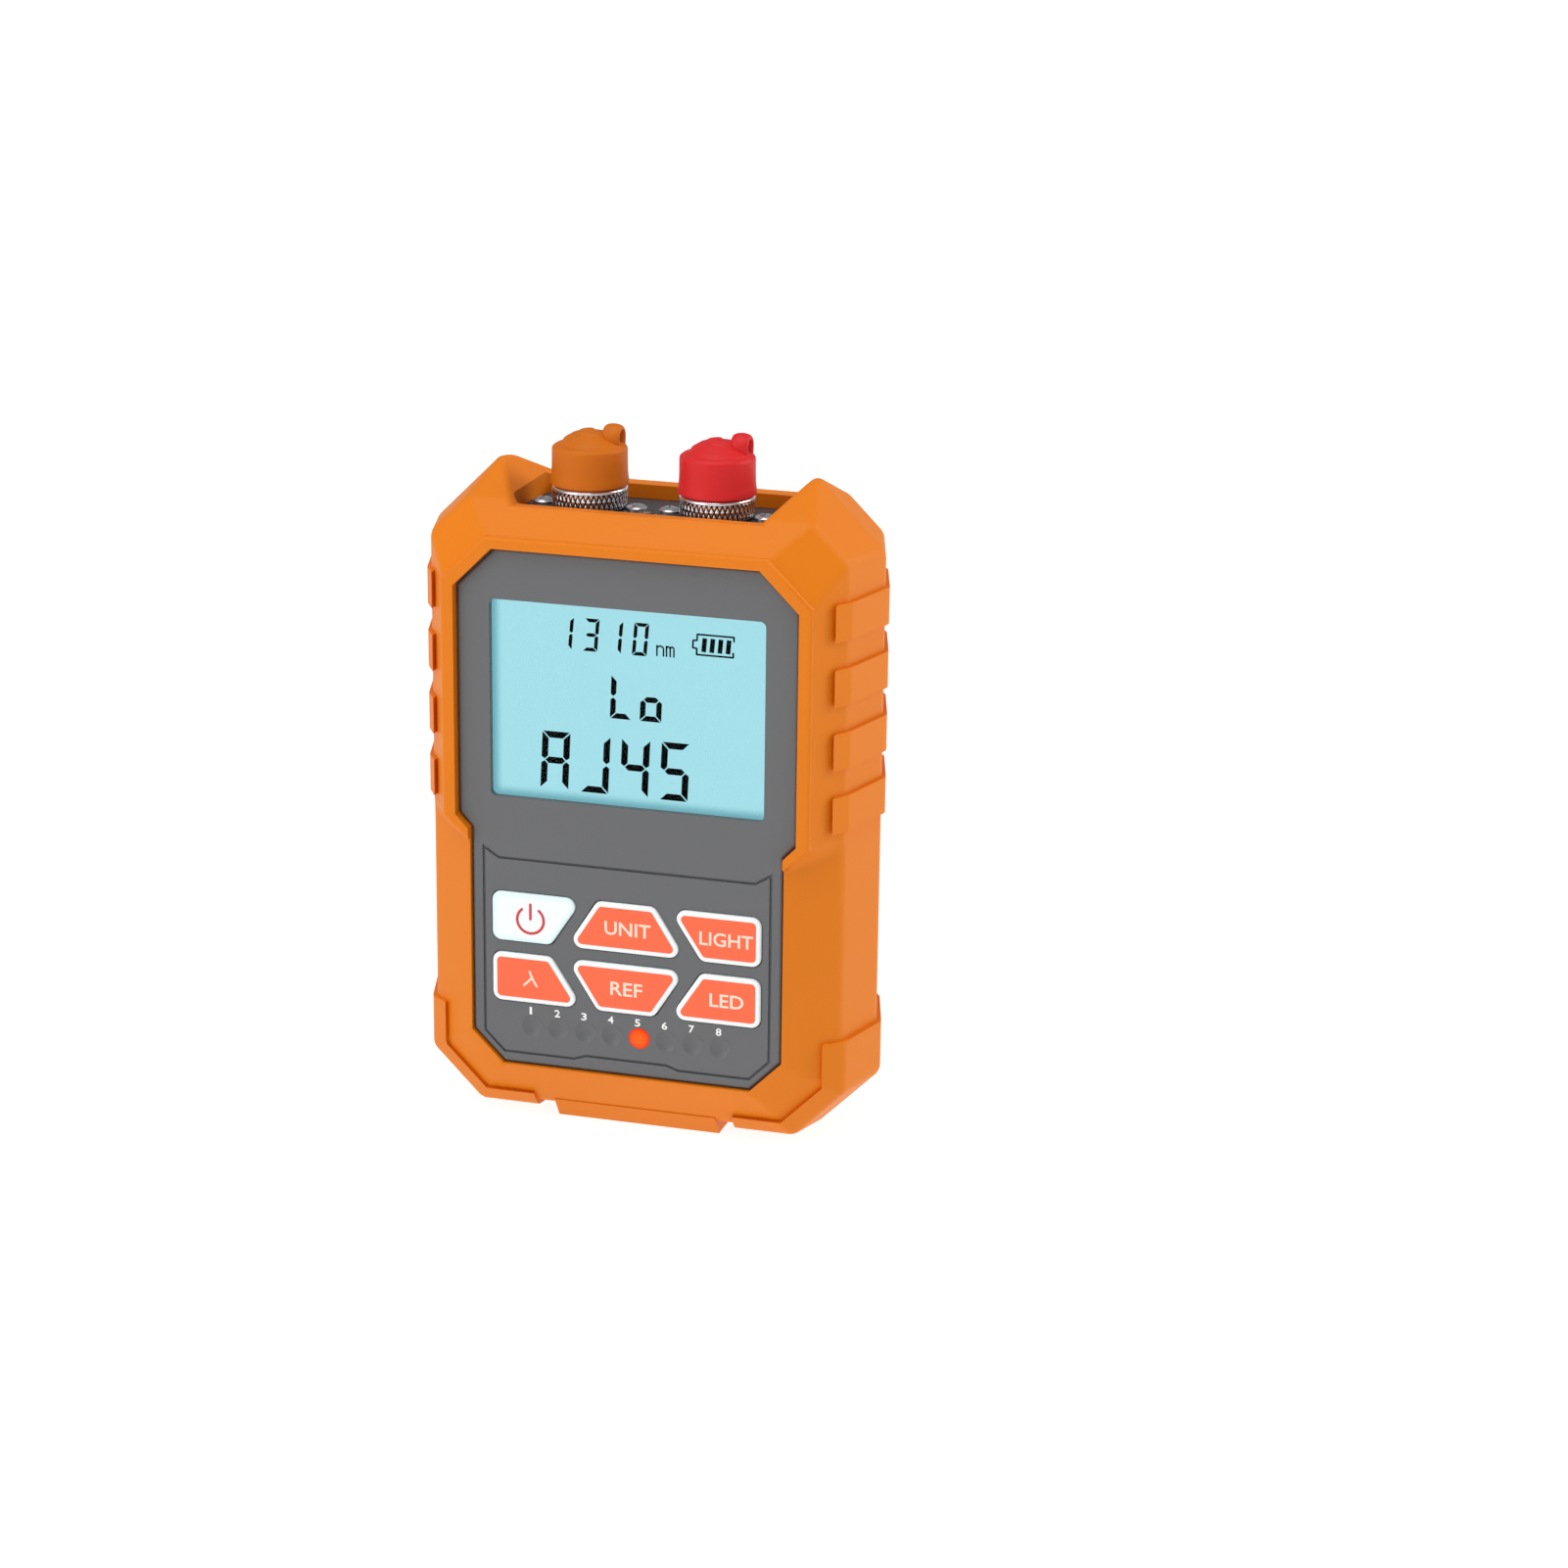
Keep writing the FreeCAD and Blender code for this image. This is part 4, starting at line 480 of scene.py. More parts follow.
MATERIALS = {slot_of(made): made for made in (
    moulded("boot_rubber", paint(227, 123, 12), 0.5, scale=1300.0, drift=0.03, specular=0.22),
    moulded("case_grey", PANEL_GREY, 0.55, scale=2200.0, drift=0.03),
    moulded("case_dark", paint(66, 68, 72), 0.5, scale=2200.0),
    clear("window_clear", WHITE, 0.02, bend=1.12),
    # The display's backlight glow, then the deeper tone along its edges, which is painted shade
    backlit_display("lcd_blue", paint(164, 225, 235), paint(112, 178, 190)),
    moulded("tray_white", paint(226, 226, 222), 0.5, depth=0.015),
    moulded("strip_rubber", paint(108, 108, 112), 0.7),
    rimmed_key("key_coral", WHITE_SILICONE, paint(255, 104, 62)),
    rimmed_key("key_white", paint(232, 250, 251), WHITE_SILICONE),
    moulded("lamp_clear", PANEL_GREY, 0.45, depth=0.006, scale=900.0),
    glowing("lamp_lit", paint(150, 30, 12), paint(255, 104, 16), paint(196, 30, 10), 0.92),
    moulded("mat_silicone", paint(196, 196, 198), 0.6),
    turned("contact_metal", paint(205, 203, 196), 0.28),
    turned("gold_plate", paint(232, 196, 110), 0.22),
    circuit_board("board_green"),
    moulded("chip_black", paint(38, 38, 40), 0.5, depth=0.01),
    turned("screw_steel", paint(200, 200, 203), 0.25),
    moulded("jack_black", paint(36, 36, 39), 0.42, depth=0.01),
    # The knurl's grooves get painted shade in a dark tone
    turned("port_chrome", paint(240, 241, 244), 0.16, groove_painted_shade=paint(52, 53, 57)),
    moulded("flange_dark", paint(58, 59, 62), 0.4, depth=0.008, metallic=0.3),
    moulded("ceramic_white", paint(240, 240, 236), 0.2, depth=0.002),
    moulded("cap_orange", paint(202, 105, 10), 0.5, depth=0.018, scale=1600.0, drift=0.04, specular=0.2),
    moulded("cap_red", paint(212, 36, 38), 0.48, depth=0.018, scale=1600.0, drift=0.04, specular=0.22),
    turned("laser_brass", paint(214, 182, 112), 0.25),
    clear("torch_lens", (0.95, 0.97, 1.0, 1.0), 0.06),
    moulded("cell_sleeve", paint(58, 60, 66), 0.35, depth=0.004, metallic=0.4),
)}
LEGEND_WHITE = moulded("legend_white", paint(250, 250, 248), 0.5, depth=0.003)
LEGEND_RED = moulded("legend_red", paint(206, 62, 68), 0.5, depth=0.003)
LEGEND_PALE = moulded("legend_pale", paint(255, 226, 206), 0.5, depth=0.003)
DISPLAY_BLACK = moulded("display_black", paint(4, 8, 10), 0.6, depth=0.002, specular=0.0)


# Meshes


def mesh_object(name, points, faces, body, slot, material=None, smooth=True, marks=None):
    """An object at the origin from points in mm and faces, in its slot's own material unless one is given.

    Marks are named values, one for each point, that the material reads.
    """
    mesh = bpy.data.meshes.new(name)
    mesh.from_pydata((np.asarray(points, float) * MM).tolist(), [], faces)
    mesh.polygons.foreach_set("use_smooth", np.full(len(mesh.polygons), smooth))
    for label, values in (marks or {}).items():
        kept = mesh.attributes.new(label, "FLOAT", "POINT")
        kept.data.foreach_set("value", np.asarray(values, np.float32))
    mesh.validate()
    mesh.update()
    mesh.materials.append(material or MATERIALS[slot])
    made = put_in_scene(name, mesh)
    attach(made, body)
    return made


def close_seams(made, angle, distance=0.0005):
    """Merges points nearer than a distance in mm, turns faces outwards, keeps edges over an angle sharp."""
    edit = bmesh.new()
    edit.from_mesh(made.data)
    bmesh.ops.remove_doubles(edit, verts=edit.verts, dist=distance * MM)
    bmesh.ops.recalc_face_normals(edit, faces=edit.faces)
    edit.to_mesh(made.data)
    edit.free()
    made.data.set_sharp_from_angle(angle=math.radians(angle))


def shown_copy(cad_name, name, slot, edge, body=BODY):
    """A copy of a CAD node, shown instead: points merged, flat areas joined, edges rounded to a width in mm.

    Each normal is weighed by the size of its faces, so flat faces stay flat beside the rounded edges.
    """
    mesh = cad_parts[cad_name].data.copy()
    mesh.name = name
    mesh.materials.clear()
    mesh.materials.append(MATERIALS[slot])
    edit = bmesh.new()
    edit.from_mesh(mesh)
    bmesh.ops.remove_doubles(edit, verts=edit.verts, dist=0.002 * MM)
    bmesh.ops.dissolve_limit(edit, angle_limit=math.radians(0.6), verts=edit.verts, edges=edit.edges)
    for face in edit.faces:
        face.smooth = True
    edit.to_mesh(mesh)
    edit.free()
    made = put_in_scene(name, mesh)
    bevel = made.modifiers.new("soft_edges", "BEVEL")
    bevel.width = edge * MM
    bevel.segments = 2
    bevel.limit_method = "ANGLE"
    bevel.angle_limit = math.radians(38.0)
    weigh = made.modifiers.new("even_shading", "WEIGHTED_NORMAL")
    weigh.keep_sharp = True
    weigh.weight = 80
    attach(made, body)
    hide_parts(cad_name)


def as_points(x, y, z):
    """Arrays of x, y and z, spread to one shape, as rows of points."""
    return np.stack(np.broadcast_arrays(x, y, z), axis=-1).reshape(-1, 3)


def on_front(outline, depth):
    """An outline of (x, z) as points at one depth."""
    return as_points(outline[:, 0], depth, outline[:, 1])


def grid_faces(rows, columns, first=0, ring=False):
    """The quads between the rows of a grid whose columns run round; ring joins the last row to the first."""
    row, column = np.meshgrid(np.arange(rows if ring else rows - 1), np.arange(columns), indexing="ij")
    here, there = row * columns, (row + 1) % rows * columns
    after = (column + 1) % columns
    quads = np.stack([here + column, here + after, there + after, there + column], axis=-1)
    return (quads.reshape(-1, 4) + first).tolist()


def capped_grid(rows, columns, first=0):
    """The quads of such a grid, and a face over each of its two ends."""
    near = list(range(first, first + columns))
    far = [index + (rows - 1) * columns for index in near]
    return [*grid_faces(rows, columns, first), near[::-1], far]


def turned_surface(profile, centre, steps, axis="z", first=0):
    """A profile of (radius, height) carried round an axis: each point turns through a whole circle.

    A radius of nought makes a pole, whose ring is closed to one point when doubles are merged.
    """
    radius, height = np.asarray(profile, float).T[:, :, None]
    angle = np.linspace(0.0, FULL_TURN, steps, endpoint=False)
    across, along = radius * np.cos(angle), radius * np.sin(angle)
    order = {"z": (across, along, height), "y": (across, height, -along)}[axis]
    return as_points(*order) + centre, grid_faces(len(radius), steps, first)


def unit_rows(rows):
    """Each row scaled to a length of one."""
    return rows / np.linalg.norm(rows, axis=1, keepdims=True)


def corner_angles(corners):
    """A polygon's corners, the ways to the last and the next, the way halving each angle, and that half."""
    corner = np.asarray(corners, float)
    to_last = unit_rows(np.roll(corner, 1, axis=0) - corner)
    to_next = unit_rows(np.roll(corner, -1, axis=0) - corner)
    half = np.arccos(np.clip((to_last * to_next).sum(1), -1, 1)) / 2
    return corner, to_last, to_next, unit_rows(to_last + to_next), half


def rounded_outline(corners, radius, steps=7):
    """A polygon with its corners rounded: each arc turns from one side's tangent point to the next side's.

    The arc's centre lies inwards of the corner by the radius over the sine of half its angle. Its points
    blend the two tangent points by the sines of the sweep before them and after them.
    """
    corner, to_last, to_next, inward, half = corner_angles(corners)
    centre = corner + inward * (radius / np.sin(half))[:, None]
    tangent = (radius / np.tan(half))[:, None]
    first = corner + to_last * tangent - centre
    last = corner + to_next * tangent - centre
    sweep = (np.pi - 2 * half)[:, None, None]
    part = np.linspace(0.0, 1.0, steps)[None, :, None]
    arc = np.sin((1 - part) * sweep) * first[:, None] + np.sin(part * sweep) * last[:, None]
    return (centre[:, None] + arc / np.sin(sweep)).reshape(-1, 2)


def stacked_outlines(corners, levels, corner_radius, least_radius=0.25):
    """Rounded outlines stacked in depth, with both ends closed: levels are (inset, y).

    An outline's sides lie inwards of the polygon's by the inset, and its corner radius is as much smaller.
    """
    corner, _, _, inward, half = corner_angles(corners)
    rings = []
    for inset, depth in levels:
        moved = corner + inward * (inset / np.sin(half))[:, None]
        rings.append(on_front(rounded_outline(moved, max(corner_radius - inset, least_radius)), depth))
    count = len(rings[0])
    return np.vstack(rings), capped_grid(len(rings), count), count


# Boot and case


def dress_shells():
    """The boot, the two case shells, the port plate and the door, with the moulds' small edge radii."""
    shown_copy("rubber_boot", "boot", "boot_rubber", edge=0.4)
    shown_copy("front_case", "front_shell", "case_grey", edge=0.12)
    shown_copy("rear_case", "rear_shell", "case_grey", edge=0.2)
    shown_copy("port_plate", "port_plate_cover", "case_dark", edge=0.15)
    shown_copy("battery_door", "door", "case_grey", edge=0.15, body="battery_door")


# Keys and prints


def make_key(name, top, span):
    """A key as rounded outlines stacked from its flange to its face, with a soft edge and a flat field.

    The mark "from_edge" is how far a point lies inwards of the key's outline.
    """
    flange = KEY_BACK - 1.0
    levels = [
        (-0.7, KEY_BACK), (-0.7, flange), (-0.55, flange - 0.1), (0.0, flange - 0.1),
        (0.0, KEY_FACE + 0.4), (0.02, KEY_FACE + 0.24), (0.1, KEY_FACE + 0.11), (0.24, KEY_FACE + 0.03),
        (0.45, KEY_FACE), (0.77, KEY_FACE - 0.005), (0.83, KEY_FACE - 0.005), (1.3, KEY_FACE - 0.01),
    ]
    left_top, right_top, left_low, right_low = span
    low = top - KEY_HEIGHT
    corners = [(left_top, top), (right_top, top), (right_low, low), (left_low, low)]
    points, faces, count = stacked_outlines(corners, levels, KEY_ROUND)
    from_edge = np.repeat([max(inset, 0.0) for inset, depth in levels], count)
    slot = "key_white" if name == "power" else "key_coral"
    made = mesh_object(
        f"{name}_key_cap", points, faces, f"{name}_key", slot, marks={"from_edge": from_edge},
    )
    close_seams(made, angle=50.0)
    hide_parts(f"key_{name}")


def flat_shapes(name, shapes, front, body, slot, material, thick=PRINT_THICK):
    """Closed outlines of (x, z) as thin plates: each outline is a front face, a back face and a wall.

    An outline whose signed area is below nought runs the wrong way round and is reversed.
    """
    points, faces, first = [], [], 0
    for shape in shapes:
        outline = np.asarray(shape, float)
        x, z = outline.T
        if np.sum(x * np.roll(z, -1) - np.roll(x, -1) * z) < 0:
            outline = outline[::-1]
        points += [on_front(outline, front), on_front(outline, front + thick)]
        count = len(outline)
        index = np.arange(count)
        after = (index + 1) % count
        walls = np.stack([index, index + count, after + count, after], axis=1) + first
        faces += [(index + first).tolist(), (index[::-1] + count + first).tolist(), *walls.tolist()]
        first += 2 * count
    mesh_object(name, np.vstack(points), faces, body, slot, material, smooth=False)


def upright_line(x, low, high, count):
    """Points of (x, z) along an upright line."""
    return np.column_stack([np.full(count, x), np.linspace(low, high, count)])


def stroke(path, width, end_points=6):
    """A line of even width with round ends: both sides of the path, joined by half circles."""
    line = np.asarray(path, float)
    along = unit_rows(np.gradient(line, axis=0))
    side = np.column_stack([-along[:, 1], along[:, 0]])
    half = width / 2
    turn = np.linspace(np.pi / 2, -np.pi / 2, end_points + 2)[1:-1, None]
    end = line[-1] + half * (np.sin(turn) * side[-1] + np.cos(turn) * along[-1])
    start = line[0] - half * (np.sin(turn) * side[0] + np.cos(turn) * along[0])
    return np.vstack([line + half * side, end, (line - half * side)[::-1], start])


def legend(name, words, middle, size, front, body, ink, bold=0.0):
    """Words on a face, fitted to a width and height in mm round a middle point of (x, z)."""
    text = bpy.data.curves.new(name, "FONT")
    text.body = words
    text.size = 1.0
    text.offset = bold
    text.resolution_u = 3
    carrier = put_in_scene(name + "_text", text)
    bpy.context.view_layer.update()
    mesh = bpy.data.meshes.new_from_object(carrier)
    bpy.data.objects.remove(carrier)
    flat = np.empty(len(mesh.vertices) * 3)
    mesh.vertices.foreach_get("co", flat)
    flat = flat.reshape(-1, 3)[:, :2]
    low, high = flat.min(0), flat.max(0)
    fitted = (flat - (low + high) / 2) * (np.array(size) / (high - low)) + middle
    faces = [list(face.vertices) for face in mesh.polygons]
    bpy.data.meshes.remove(mesh)
    made = mesh_object(name, on_front(fitted, front), faces, body, "key_white", ink, smooth=False)
    thicken = made.modifiers.new("print", "SOLIDIFY")
    thicken.thickness = PRINT_THICK * MM
    thicken.offset = -1.0


def make_legends():
    """The keys' words."""
    for key, words, middle, size in (
        ("unit", "UNIT", (0.4, 37.15), (7.9, 2.35)),
        ("light", "LIGHT", (17.25, 37.15), (9.1, 2.35)),
        ("ref", "REF", (0.2, 26.7), (5.5, 2.35)),
        ("led", "LED", (17.4, 26.6), (5.8, 2.3)),
    ):
        legend(f"{key}_legend", words, middle, size, KEY_PRINT, f"{key}_key", LEGEND_PALE, bold=0.012)


def make_signs():
    """The wavelength sign, a bowed leg with a straight one under it, and the power sign, a ring and a bar.

    The bowed leg falls below its straight line by a half wave of a sine. It crosses the other leg, which
    lies a little further back. The ring runs from 130 to 410 degrees, so it is open at the top.
    """
    pen, power_pen = 0.36, 0.48
    part = np.linspace(0.0, 1.0, 9)[:, None]
    long_leg = (1 - part) * (-16.6, 27.95) + part * (-15.35, 25.5)
    long_leg[:, 1] -= 0.2 * np.sin(np.pi * part[:, 0])
    short_leg = (1 - part) * (-16.2, 26.85) + part * (-17.6, 25.5)
    for length, leg, front in (("long", long_leg, KEY_PRINT), ("short", short_leg, KEY_PRINT + 0.004)):
        flat_shapes(
            f"wavelength_{length}_leg", [stroke(leg, pen)], front, "wavelength_key", "key_white", LEGEND_PALE,
        )
    x, z, radius = -16.4, 37.0, 2.3
    turn = np.linspace(math.radians(130), math.radians(410), 60)
    ring = np.column_stack([x + radius * np.cos(turn), z + radius * np.sin(turn)])
    bar = upright_line(x, 37.2, 39.7, 9)
    strokes = [stroke(ring, power_pen), stroke(bar, power_pen)]
    flat_shapes("power_legend", strokes, KEY_PRINT, "power_key", "key_white", LEGEND_RED)


def lamp_x(number):
    """How far to the right a lamp stands: the eight of them are evenly spread round the middle."""
    return (number - 4.5) * LAMP_PITCH


def number_lamps():
    """The lamps' numbers, printed on the panel above them; the narrow first one keeps its thin stem."""
    for number in range(1, 9):
        width, bold = (0.42, 0.0) if number == 1 else (0.95, 0.02)
        middle = (lamp_x(number) - 0.3, 20.95)
        legend(
            f"lamp_number_{number}", str(number), middle, (width, 1.3), PANEL_PRINT, BODY, LEGEND_WHITE,
            bold=bold,
        )


# Display


def bar_shapes(width, height, thick, gap):
    """The seven bars of a digit with mitred ends, as outlines in the digit's own millimetres.

    Two of them and the middle one are drawn, and the others are these turned over and seen in a mirror.
    """
    half = height / 2
    inner = thick + gap
    top = np.array([(gap, height), (width - gap, height), (width - inner, height - thick),
                    (inner, height - thick)])
    left = np.array([(0, height - gap), (thick, height - inner), (thick, half + thick / 2 + gap),
                     (thick / 2, half + gap), (0, half + thick / 2)])
    middle = np.array([(thick / 2 + gap, half), (inner, half + thick / 2), (width - inner, half + thick / 2),
                       (width - thick / 2 - gap, half), (width - inner, half - thick / 2),
                       (inner, half - thick / 2)])
    lower_left = left * (1, -1) + (0, height)
    return {
        "a": top,
        "b": left * (-1, 1) + (width, 0),
        "c": lower_left * (-1, 1) + (width, 0),
        "d": top * (1, -1) + (0, height),
        "e": lower_left,
        "f": left,
        "g": middle,
    }


def digit(bars, x, z, width, height, thick, gap, slant):
    """The lit bars of one digit at its lower left corner; points move right by a share of their height."""
    shapes = bar_shapes(width, height, thick, gap)
    lean = np.array([(1.0, 0.0), (slant, 1.0)])
    return [shapes[bar] @ lean + (x, z) for bar in bars]


def battery_sign():
    """Four leaning bars inside the outline of a cell."""
    height = np.linspace(84.6, 86.9, 6)
    strokes = [
        stroke(np.column_stack([x + 0.09 * (height - 84.0), height]), 0.78, end_points=0)
        for x in (11.95, 13.3, 14.65, 16.0)
    ]
    outline = [(17.05, 86.75), (17.05, 87.45), (10.95, 87.45), (10.9, 86.45), (10.25, 86.4),
               (10.2, 85.2), (10.85, 85.1), (10.85, 84.1), (16.95, 84.1), (16.95, 84.8)]
    for start, stop in zip(outline, outline[1:]):
        strokes.append(stroke(np.linspace(start, stop, 5), 0.3, end_points=3))
    return strokes


def letters_nm():
    """The small letters of the unit: a stem, and one or two half-round arches, each with a leg."""
    foot, pen = 83.35, 0.27
    turn = np.linspace(np.pi, 0, 12)
    paths = []
    for left, arches, step in ((4.2, 1, 1.1), (5.8, 2, 0.62)):
        paths.append(upright_line(left, foot, 85.0, 5))
        for arch in range(arches):
            start = left + step * arch
            paths.append(np.column_stack([start + step / 2 * (1 + np.cos(turn)), 84.5 + 0.45 * np.sin(turn)]))
            paths.append(upright_line(start + step, 84.4, foot, 5))
    return [stroke(path, pen, end_points=3) for path in paths]


def make_display():
    """The dark bars of the reading, between the window and the display cell."""
    upper = {"z": 83.05, "width": 2.5, "height": 5.45, "thick": 0.6, "gap": 0.09, "slant": 0.085}
    middle = {"z": 72.15, "width": 3.65, "height": 7.3, "thick": 0.92, "gap": 0.13, "slant": 0.04}
    lower = {"z": 59.2, "width": 4.8, "height": 9.8, "thick": 1.1, "gap": 0.15, "slant": 0.045}
    shapes = []
    for row, digits in (
        (upper, (("bc", -12.75), ("abcdg", -8.4), ("bc", -4.4), ("abcdef", -0.05))),
        (middle, (("def", -3.75), ("cdeg", 1.3))),
        (lower, (("abcefg", -15.7), ("bcd", -8.85), ("bcfg", -2.1), ("acdfg", 4.65))),
    ):
        for bars, x in digits:
            shapes += digit(bars, x, **row)
    shapes += battery_sign() + letters_nm()
    placed = [shape + DISPLAY_SHIFT for shape in shapes]
    flat_shapes("display_reading", placed, DISPLAY_INK, BODY, "chip_black", DISPLAY_BLACK, thick=0.015)


# Lamps


def make_lamps():
    """Each lamp's light guide: dished in front, and for the lit one domed and glowing.

    The front's depth goes with one less the square of the way out from the middle. The mark "inward" is one
    less the power 2.5 of that way, and nought on the stem.
    """
    steps, radius = 56, 1.82
    part = np.linspace(0.0, 1.0, 14)
    stem = [
        (1.83, PANEL_FACE + 0.01), (1.77, PANEL_FACE + 0.06), (1.77, -10.1), (2.2, -10.1), (2.2, -9.5),
        (0.0, -9.5),
    ]
    inward = np.repeat(np.concatenate([1 - part**2.5, np.zeros(len(stem))]), steps)
    for number in range(1, 9):
        lit = number == LIT_LAMP
        depth = -0.3 if lit else 0.55
        front = np.column_stack([radius * part, PANEL_FACE - 0.02 + depth * (1 - part**2)])
        centre = (lamp_x(number), 0.0, LAMP_HEIGHT)
        points, faces = turned_surface(np.vstack([front, stem]), centre, steps, axis="y")
        slot = "lamp_lit" if lit else "lamp_clear"
        made = mesh_object(f"lamp_guide_{number}", points, faces, BODY, slot, marks={"inward": inward})
        close_seams(made, angle=40.0)
        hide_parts(f"lamp_{number}")


# Ports


def round_port(x, radius, angle, height):
    """Points at a radius, an angle and a height round the axis of the port at x."""
    return as_points(x + radius * np.cos(angle), PORT_Y + radius * np.sin(angle), height)


def triangle_wave(phase):
    """A wave with a period of one: 1 at whole numbers, falling evenly to 0 halfway between them."""
    return np.abs(phase % 1.0 - 0.5) * 2


def make_sleeve(name, x):
    """A knurled band under a smooth collar.

    The band's radius falls in two families of slanting grooves: the fall goes with the square of the larger
    of two triangle waves, one of angle plus height and one of angle less height. That larger wave is the
    mark "groove", which the chrome's material reads to paint shade deep in the grooves. The ring at the
    collar's foot carries a high mark too, for a painted shadow line under the collar.
    """
    around, diamonds, lead = 560, 44, 2.1
    band_radius, groove_depth, bore = 6.2, 0.14, 4.55
    collar = SLEEVE_TOP - 0.75
    angle = np.linspace(0.0, FULL_TURN, around, endpoint=False)
    turn, height = np.meshgrid(angle, np.linspace(SLEEVE_LOW + 0.2, collar - 0.1, 34))
    wave = turn / FULL_TURN * diamonds
    slope = height / lead
    groove = np.maximum(triangle_wave(wave + slope), triangle_wave(wave - slope))
    radius = band_radius - groove_depth * groove**2
    foot = np.array([(bore, SLEEVE_LOW, 0.0), (5.85, SLEEVE_LOW, 0.0), (6.0, SLEEVE_LOW + 0.12, 0.2)])
    head = np.array([
        # A high groove mark here paints a shadow line at the collar's foot
        (5.8, collar, 0.9), (6.14, collar + 0.08, 0.0), (6.18, collar + 0.16, 0.0),
        (6.1, collar + 0.42, 0.0), (5.9, SLEEVE_TOP - 0.12, 0.0), (5.7, SLEEVE_TOP, 0.0),
        (4.6, SLEEVE_TOP, 0.0), (bore, SLEEVE_LOW, 0.0),
    ])
    rings = np.concatenate([
        np.broadcast_to(foot[:, :, None], (*foot.shape, around)),
        np.stack([radius, height, groove], axis=1),
        np.broadcast_to(head[:, :, None], (*head.shape, around)),
    ])
    made = mesh_object(
        f"{name}_knurl", round_port(x, rings[:, 0], angle, rings[:, 1]), grid_faces(len(rings), around), BODY,
        "port_chrome", marks={"groove": rings[:, 2].ravel()},
    )
    close_seams(made, angle=60.0)
    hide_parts(f"{name}_sleeve")


def make_cap(name, x, slot):
    """A soft cap: a profile turned round its axis, flared at the rim, with a swirl rising on the crown.

    The crown sinks by up to 0.28 mm: the fall grows slowly and ends quickly with a phase that is the way in
    from the edge plus a share of the angle, so its steps run as a spiral. It fades out at the crown's edge
    and middle.
    """
    around, bore, ceiling = 240, 4.58, 113.9
    crown_foot, dome_radius, dome_foot, dome_rise = 114.05, 2.9, 116.35, 0.7
    swirl_depth, swirl_pitch, quick_share = 0.28, 2.5, 0.12
    wall = [
        (bore, CAP_RIM), (6.15, CAP_RIM), (6.4, CAP_RIM + 0.12), (6.42, CAP_RIM + 0.6), (6.3, CAP_RIM + 1.2),
        (6.22, CAP_RIM + 2.0), (6.18, 111.4), (6.17, 113.5), (6.14, 113.9), (6.04, 114.08), (5.9, 114.2),
    ]
    cone = np.column_stack([np.linspace(5.75, dome_radius, 26), np.linspace(114.3, dome_foot, 26)])
    part = np.linspace(0.0, 1.0, 22)[1:]
    dome = np.column_stack([dome_radius * (1 - part), dome_foot + dome_rise * np.sin(part * np.pi / 2)])
    radius, height = np.vstack([wall, cone, dome]).T[:, :, None]
    angle = np.linspace(0.0, FULL_TURN, around, endpoint=False)
    phase = ((5.4 - radius) / swirl_pitch + angle / FULL_TURN + 0.1) % 1.0
    fall = np.where(phase < quick_share, 1 - phase / quick_share, (phase - quick_share) / (1 - quick_share))
    fade = np.clip((5.6 - radius) / 0.5, 0, 1) * np.clip((radius - 0.3) / 0.9, 0, 1) * (height > crown_foot)
    outside = round_port(x, radius, angle, height - swirl_depth * fade * fall)
    faces = grid_faces(len(radius), around)
    inside, inside_faces = turned_surface(
        [(0.0, ceiling), (bore, ceiling), (bore, CAP_RIM)], (x, PORT_Y, 0.0), around, first=len(outside),
    )
    made = mesh_object(
        f"{name}_soft_cap", np.vstack([outside, inside]), faces + inside_faces, f"{name}_cap", slot,
    )
    close_seams(made, angle=55.0, distance=0.02)
    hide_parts(f"{name}_cap")


def make_ear(name, x, slot):
    """The strap's eyelet: an oval section carried round a circle that is drawn out below into the cap.

    The section's thickness and width go with the cosine and sine to the power 2 / 2.15. Points under the
    circle's middle move down by 0.7 of their distance from it.
    """
    around, across = 80, 32
    ring_radius, half_thick, half_width, power = 1.64, 0.64, 1.5, 2 / 2.15
    turn = np.linspace(0.0, FULL_TURN, around, endpoint=False)[:, None]
    section = np.linspace(0.0, FULL_TURN, across, endpoint=False)
    cosine, sine = np.cos(section), np.sin(section)
    radius = ring_radius + half_thick * np.sign(cosine) * np.abs(cosine) ** power
    wide = half_width * np.sign(sine) * np.abs(sine) ** power
    rise = radius * np.sin(turn)
    rise = np.where(rise < 0, 1.7 * rise, rise)
    points = as_points(x + 3.75 + wide, PORT_Y + 1.0 + radius * np.cos(turn), 115.58 + rise)
    faces = grid_faces(around, across, ring=True)
    made = mesh_object(f"{name}_cap_ear", points, faces, f"{name}_cap", slot)
    close_seams(made, angle=80.0)


def make_barrel(name, x):
    """The port's flange and the thread on its barrel.

    The thread's radius grows and shrinks with a triangle wave of height over pitch plus a share of the angle.
    """
    shown_copy(f"{name}_flange", f"{name}_flange_body", "flange_dark", edge=0.1)
    around, pitch, root, depth, core = 72, 0.75, 4.51, 0.05, 4.3
    angle = np.linspace(0.0, FULL_TURN, around, endpoint=False)
    height = np.linspace(SLEEVE_TOP + 0.05, 113.2, 97)[:, None]
    radius = root + depth * triangle_wave(height / pitch + angle / FULL_TURN)
    points = np.vstack([
        round_port(x, core, angle, SLEEVE_TOP - 0.05),
        round_port(x, radius, angle, height),
        round_port(x, core, angle, 113.3),
    ])
    faces = grid_faces(len(height) + 2, around, ring=True)
    made = mesh_object(f"{name}_thread", points, faces, BODY, "port_chrome")
    close_seams(made, angle=60.0)


# Screws and work light


def recess_arm(across, along, half_width, reach):
    """A mask that is 1 inside one arm of a cross recess and falls to 0 over its walls."""
    return np.clip((half_width - np.abs(across)) / 0.05, 0, 1) * np.clip((reach - np.abs(along)) / 0.1, 0, 1)


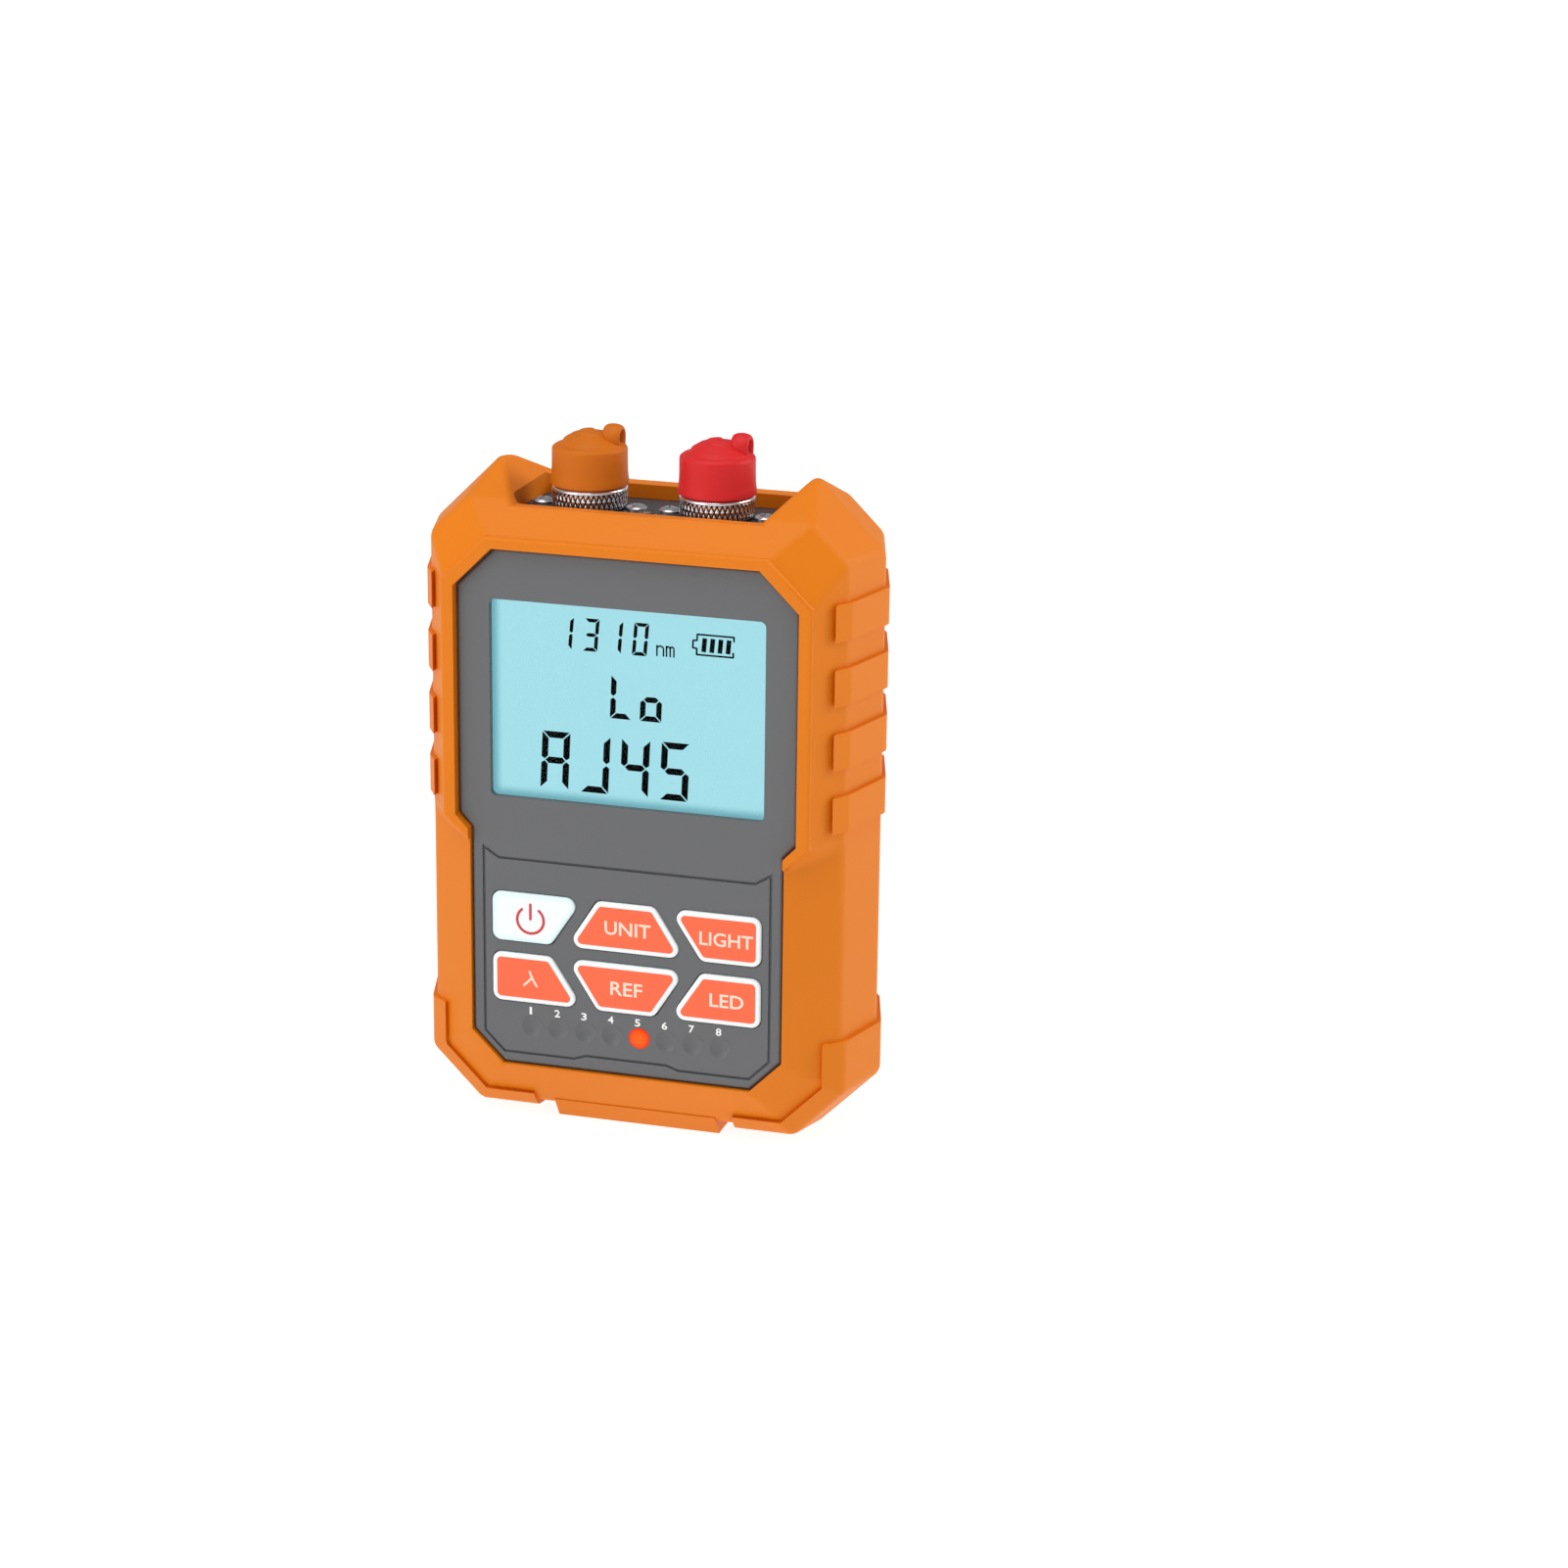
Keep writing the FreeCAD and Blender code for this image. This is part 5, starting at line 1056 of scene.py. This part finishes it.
def cross_screws(name, cad_name, places, axis, radius, rise, shank_radius, shank):
    """Screws with a domed head and a cross recess.

    The head is the upper part of an ellipsoid, lowered by 0.55 of its rise inside a plus-shaped mask.
    """
    around = 96
    angle = np.linspace(0.0, FULL_TURN, around, endpoint=False)
    stem = np.array([(0.0, -shank), (shank_radius, -shank), (shank_radius, 0.0), (radius, 0.0)])
    part = np.linspace(1.0, 0.0, 34)[:, None]
    reach = np.vstack([stem[:, :1], radius * part])
    across, along = reach * np.cos(angle), reach * np.sin(angle)
    arm = {"half_width": 0.13 * radius + 0.05, "reach": 0.62 * radius}
    recess = np.maximum(recess_arm(across, along, **arm), recess_arm(along, across, **arm))[len(stem):]
    dome = rise * np.sqrt(1 - (0.92 * part) ** 2) - 0.55 * rise * recess
    height = np.vstack([np.broadcast_to(stem[:, 1:], (len(stem), around)), dome])
    order = {"z": (across, along, height), "y": (across, height, -along)}[axis]
    one = as_points(*order)
    faces = []
    for index in range(len(places)):
        faces += grid_faces(len(reach), around, first=index * len(one))
    points = np.vstack([one + place for place in places])
    made = mesh_object(name, points, faces, BODY, "screw_steel")
    close_seams(made, angle=40.0, distance=0.004)
    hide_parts(cad_name)


def make_screws():
    """Two screws beside each port, and the four case screws at the back."""
    beside = [(side * PORT_X + shift, PORT_Y, 104.2) for side in (-1, 1) for shift in (-8.0, 8.0)]
    port_screw = {"radius": 1.75, "rise": 0.95, "shank_radius": 0.98, "shank": 5.0}
    cross_screws("port_screw_heads", "port_screws", beside, "z", **port_screw)
    behind = [(x, 7.5, z) for x in (-27.3, 27.3) for z in (97.4, 13.0)]
    case_screw = {"radius": 2.2, "rise": 1.5, "shank_radius": 1.28, "shank": 12.0}
    cross_screws("case_screw_heads", "case_screws", behind, "y", **case_screw)


def make_torch():
    """The work light's lens: a straight body under a round dome."""
    part = np.linspace(0.0, np.pi / 2, 16)
    dome = np.column_stack([2.2 * np.cos(part), 104.0 + 1.05 * np.sin(part)])
    body = [(0.0, 99.1), (2.6, 99.1), (2.6, 99.9), (2.2, 99.9)]
    points, faces = turned_surface(np.vstack([body, dome]), (0.0, -7.0, 0.0), steps=72)
    made = mesh_object("torch_dome", points, faces, BODY, "torch_lens")
    close_seams(made, angle=40.0)
    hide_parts("torch_lamp")


# Battery bay


def make_springs():
    """Round wire carried along a helix between each cell's flat end and its plate."""
    wire_radius, coil_radius, turns, run = 0.28, 2.9, 2.5, 1.7
    cell_pitch, bay_y, end_gap = 10.7, 9.7, 0.3
    steps, sides = 150, 10
    low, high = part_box("battery_springs")
    z_low, z_high = low.z / MM + end_gap, high.z / MM - end_gap
    part = np.linspace(0.0, 1.0, steps)[:, None]
    angle = FULL_TURN * turns * part
    section = np.linspace(0.0, FULL_TURN, sides, endpoint=False)
    reach = coil_radius + wire_radius * np.cos(section)
    coil = as_points(reach * np.cos(angle), reach * np.sin(angle), run * part + wire_radius * np.sin(section))
    points, faces = [], []
    for x, base in ((-cell_pitch, z_low), (0.0, z_high - run), (cell_pitch, z_low)):
        faces += capped_grid(steps, sides, first=len(points) * len(coil))
        points.append(coil + (x, bay_y, base))
    made = mesh_object("bay_spring_coils", np.vstack(points), faces, BODY, "contact_metal")
    close_seams(made, angle=60.0)
    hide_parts("battery_springs")


# The rest


def dress_the_rest():
    """Every CAD node that stays gets the finish of its own slot."""
    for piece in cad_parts.values():
        piece.material_slots[0].material = MATERIALS[slot_of(piece.data.materials[0])]


def lay_floor():
    """A plain pale floor, far wider than the view."""
    made, _, _ = bare_material(
        "pale_floor", Base_Color=(0.25, 0.25, 0.25, 1.0), Emission_Color=WHITE, Emission_Strength=0.9,
        Roughness=0.8, Specular_IOR_Level=0.1,
    )
    reach = 12.0
    mesh = bpy.data.meshes.new("floor")
    mesh.from_pydata(
        [(-reach, -reach, 0.0), (reach, -reach, 0.0), (reach, reach, 0.0), (-reach, reach, 0.0)], [],
        [(0, 1, 2, 3)],
    )
    mesh.materials.append(made)
    put_in_scene("floor", mesh)


stand_camera()
light_room()
lay_floor()
dress_the_rest()
dress_shells()
for row_top, keys in KEY_ROWS:
    for key, key_span in keys.items():
        make_key(key, row_top, key_span)
make_legends()
make_signs()
number_lamps()
make_display()
make_lamps()
for port, port_x, cap_slot in (("meter", -PORT_X, "cap_orange"), ("laser", PORT_X, "cap_red")):
    make_sleeve(port, port_x)
    make_cap(port, port_x, cap_slot)
    make_ear(port, port_x, cap_slot)
    make_barrel(port, port_x)
make_screws()
make_torch()
make_springs()
